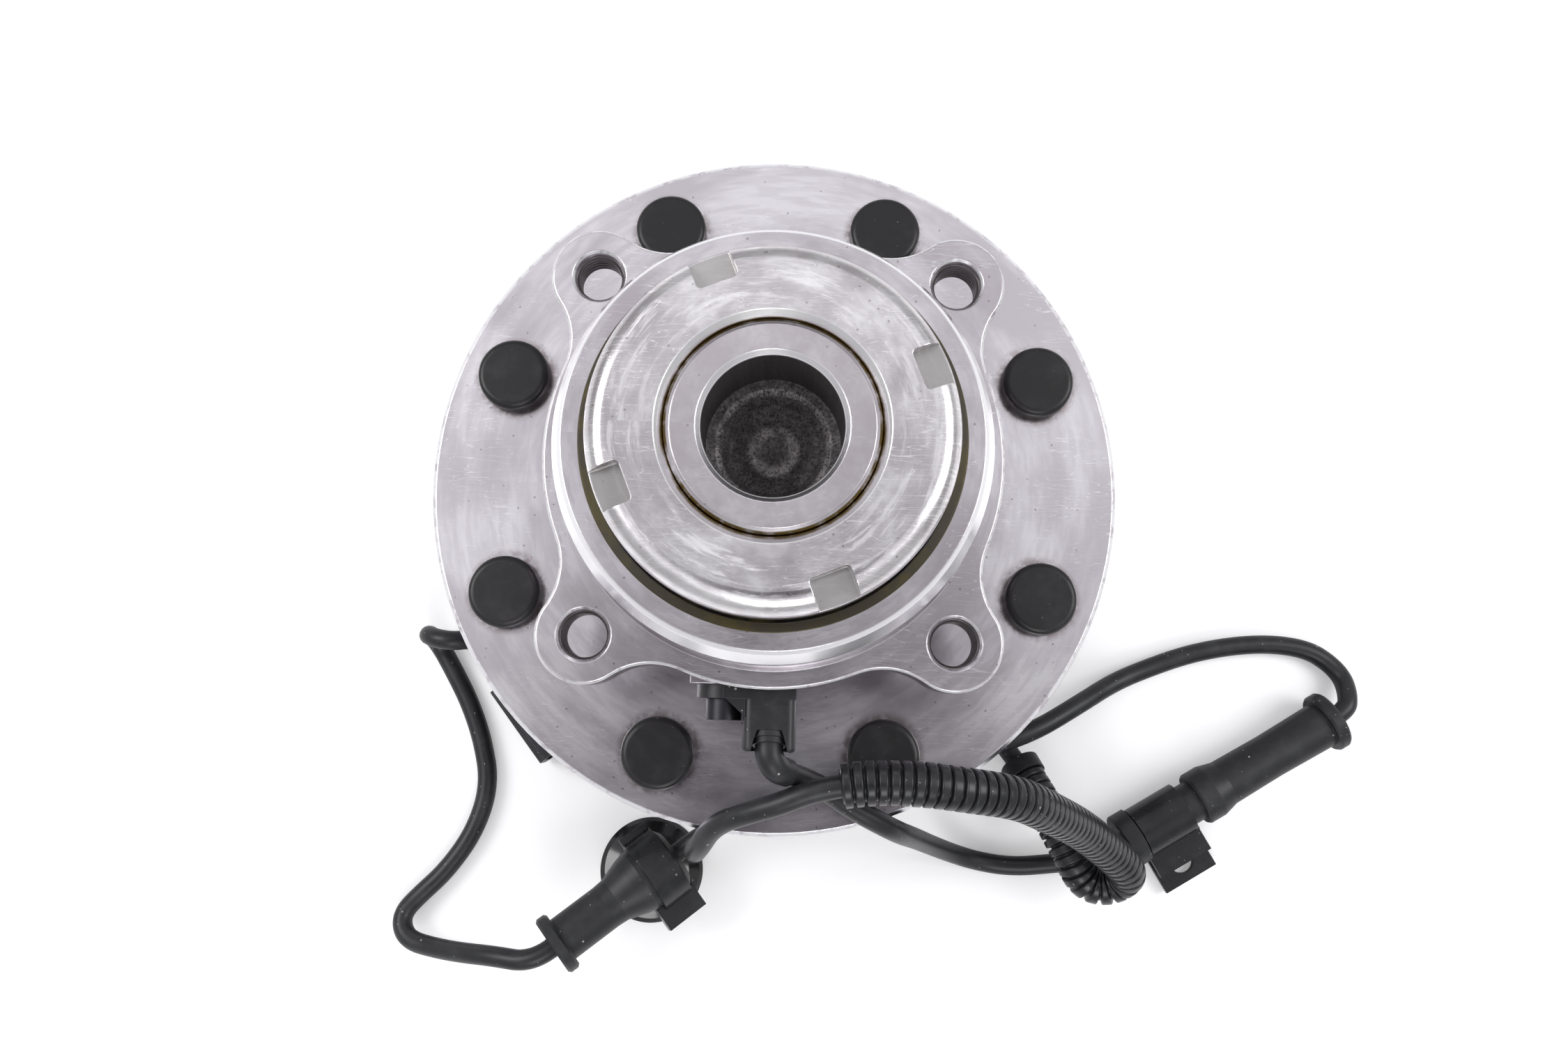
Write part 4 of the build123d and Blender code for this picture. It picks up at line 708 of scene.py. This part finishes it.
# ------------------------------------------------------------ studio
def room_light():
    """Grey walls, bright ceiling and a dim patch where the photographer stands; the camera sees white."""
    world = bpy.data.worlds.new("room")
    bpy.context.scene.world = world
    world.use_nodes = True
    graph = Graph(world.node_tree)
    direction = graph.node("TexCoord").outputs["Generated"]
    x, y, z = graph.node("SeparateXYZ", {0: direction}).outputs
    ahead = graph.plus(y, DIM_PATCH_TILT)
    spread = graph.plus(graph.times(x, x), graph.times(ahead, ahead))
    cloud = graph.noise(direction, scale=7.0, detail=3.0, roughness=0.55)
    reach = graph.plus(graph.math("SQRT", spread), graph.times(cloud, DIM_PATCH_WANDER))
    dim = graph.times(graph.ramp(reach, DIM_PATCH_OUTSIDE, DIM_PATCH_INSIDE),
                      graph.ramp(z, DIM_PATCH_FROM, DIM_PATCH_FULL))
    ceiling = graph.mix(graph.ramp(cloud, low=0.40, high=0.62), CEILING_SHADE, CEILING_LIGHT)
    upper = graph.mix(graph.ramp(z, CEILING_FROM, CEILING_FULL), WALL_GREY, ceiling)
    room = graph.mix(dim, upper, DIM_PATCH_COLOUR)
    seen = graph.node("LightPath").outputs["Is Camera Ray"]
    light = graph.node("Background", {"Color": graph.mix(seen, room, PURE_WHITE), "Strength": 1.0})
    graph.surface(light.outputs[0], "OutputWorld")


def softbox(name, place, size, power):
    """A square lamp aimed at the part."""
    lamp = bpy.data.lights.new(name, "AREA")
    lamp.shape = "SQUARE"
    lamp.size = size
    lamp.energy = power
    thing = bpy.data.objects.new(name, lamp)
    bpy.context.scene.collection.objects.link(thing)
    thing.location = place
    thing.rotation_euler = (Vector(SOFTBOX_AIM) - Vector(place)).to_track_quat("-Z", "Y").to_euler()


def white_table():
    """A smooth white table, lifted in the camera's eyes so that only the object's shadow shows on it."""
    side = TABLE_HALF_SIDE
    mesh = bpy.data.meshes.new("table_top")
    mesh.from_pydata([(-side, -side, 0), (side, -side, 0), (side, side, 0), (-side, side, 0)], [],
                     [(0, 1, 2, 3)])
    table = bpy.data.objects.new("table_top", mesh)
    table.location.z = -TABLE_DROP
    bpy.context.scene.collection.objects.link(table)
    material, graph = new_material("white_table")
    paint = graph.principled(Base_Color=TABLE_WHITE, Roughness=0.2, Specular_IOR_Level=0.5)
    lift = graph.times(graph.node("LightPath").outputs["Is Camera Ray"], TABLE_LIFT)
    glow = graph.node("Emission", {"Color": PURE_WHITE, "Strength": lift}).outputs[0]
    graph.surface(graph.node("AddShader", {0: paint, 1: glow}).outputs[0])
    mesh.materials.append(material)


def studio():
    bpy.context.scene.view_settings.view_transform = "Standard"
    room_light()
    for name, place, size, power in SOFTBOXES:
        softbox(name, place, size, power)
    white_table()


def dress():
    """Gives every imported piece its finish, adds the knuckle threads, and returns the cords' two finishes."""
    assign(hub_steel(), "hub_spindle")
    assign(outer_ring_steel(), "outer_ring")
    # the thread sleeves' steel is darker than the ring's: painted shade inside the knuckle holes
    make_threads(plain_steel("thread_shaded_steel", (0.26, 0.245, 0.25), roughness=0.32))
    assign(nut_steel(), "ring_nut")
    assign(ring_steel("inner_ring_steel", (0.60, 0.57, 0.58), (0.80, 0.78, 0.78), roughness=0.2),
           "inboard_inner_ring", "outboard_inner_ring")
    assign(plain_steel("ground_steel", (0.72, 0.72, 0.74), roughness=0.16), "outboard_rollers",
           "inboard_rollers")
    assign(plain_steel("pressed_steel", (0.42, 0.41, 0.40), roughness=0.4), "outboard_cage", "inboard_cage",
           "outboard_seal_case")
    assign(greasy("greasy_case", (0.05, 0.042, 0.025), metallic=0.7, roughness=0.35), "inboard_seal_case")
    assign(greasy("greasy_lip", (0.012, 0.011, 0.010), metallic=0.0, roughness=0.4), "inboard_seal_lip")
    assign(plain_steel("tone_steel", (0.55, 0.54, 0.54), roughness=0.35), "tone_ring")
    assign(black_rubber("stud_black", (0.009, 0.008, 0.009), roughness=0.36, grain=700.0, dust=0.12),
           "wheel_studs")
    assign(black_rubber("grommet_rubber", (0.012, 0.0125, 0.014), roughness=0.42), "right_grommet",
           "left_grommet", "rim_grommet", "cable_boot")
    assign(black_rubber("seal_rubber", (0.014, 0.013, 0.013), roughness=0.4, dust=0.1), "outboard_seal_lip",
           "sensor_o_ring", "connector_seal")
    assign(black_rubber("sensor_plastic", (0.016, 0.0165, 0.018), roughness=0.36), "sensor_body",
           "connector_housing")
    assign(black_rubber("clip_plastic", (0.008, 0.0085, 0.0095), roughness=0.27, dust=0.4), "right_clip",
           "left_clip")
    assign(black_rubber("button_plastic", (0.010, 0.010, 0.011), roughness=0.12, grain=200.0, dust=0.3,
                        coat=0.5), "clip_button")
    assign(plain_steel("screw_black", (0.05, 0.05, 0.055), roughness=0.4), "sensor_screw")
    assign(plain_steel("bush_brass", (0.66, 0.50, 0.24), roughness=0.3), "sensor_bushing")
    assign(plain_steel("tinned_brass", (0.72, 0.69, 0.62), roughness=0.25), "connector_terminals")
    assign(black_rubber("lock_plastic", (0.20, 0.21, 0.23), roughness=0.4, dust=0.2), "connector_lock")
    jacket = black_rubber("cable_jacket", (0.013, 0.0135, 0.015), roughness=0.38)
    loom = black_rubber("loom_plastic", (0.011, 0.0115, 0.013), roughness=0.28, dust=0.5)
    return jacket, loom


place_camera()
make_cords(*dress())
studio()
bpy.context.view_layer.update()
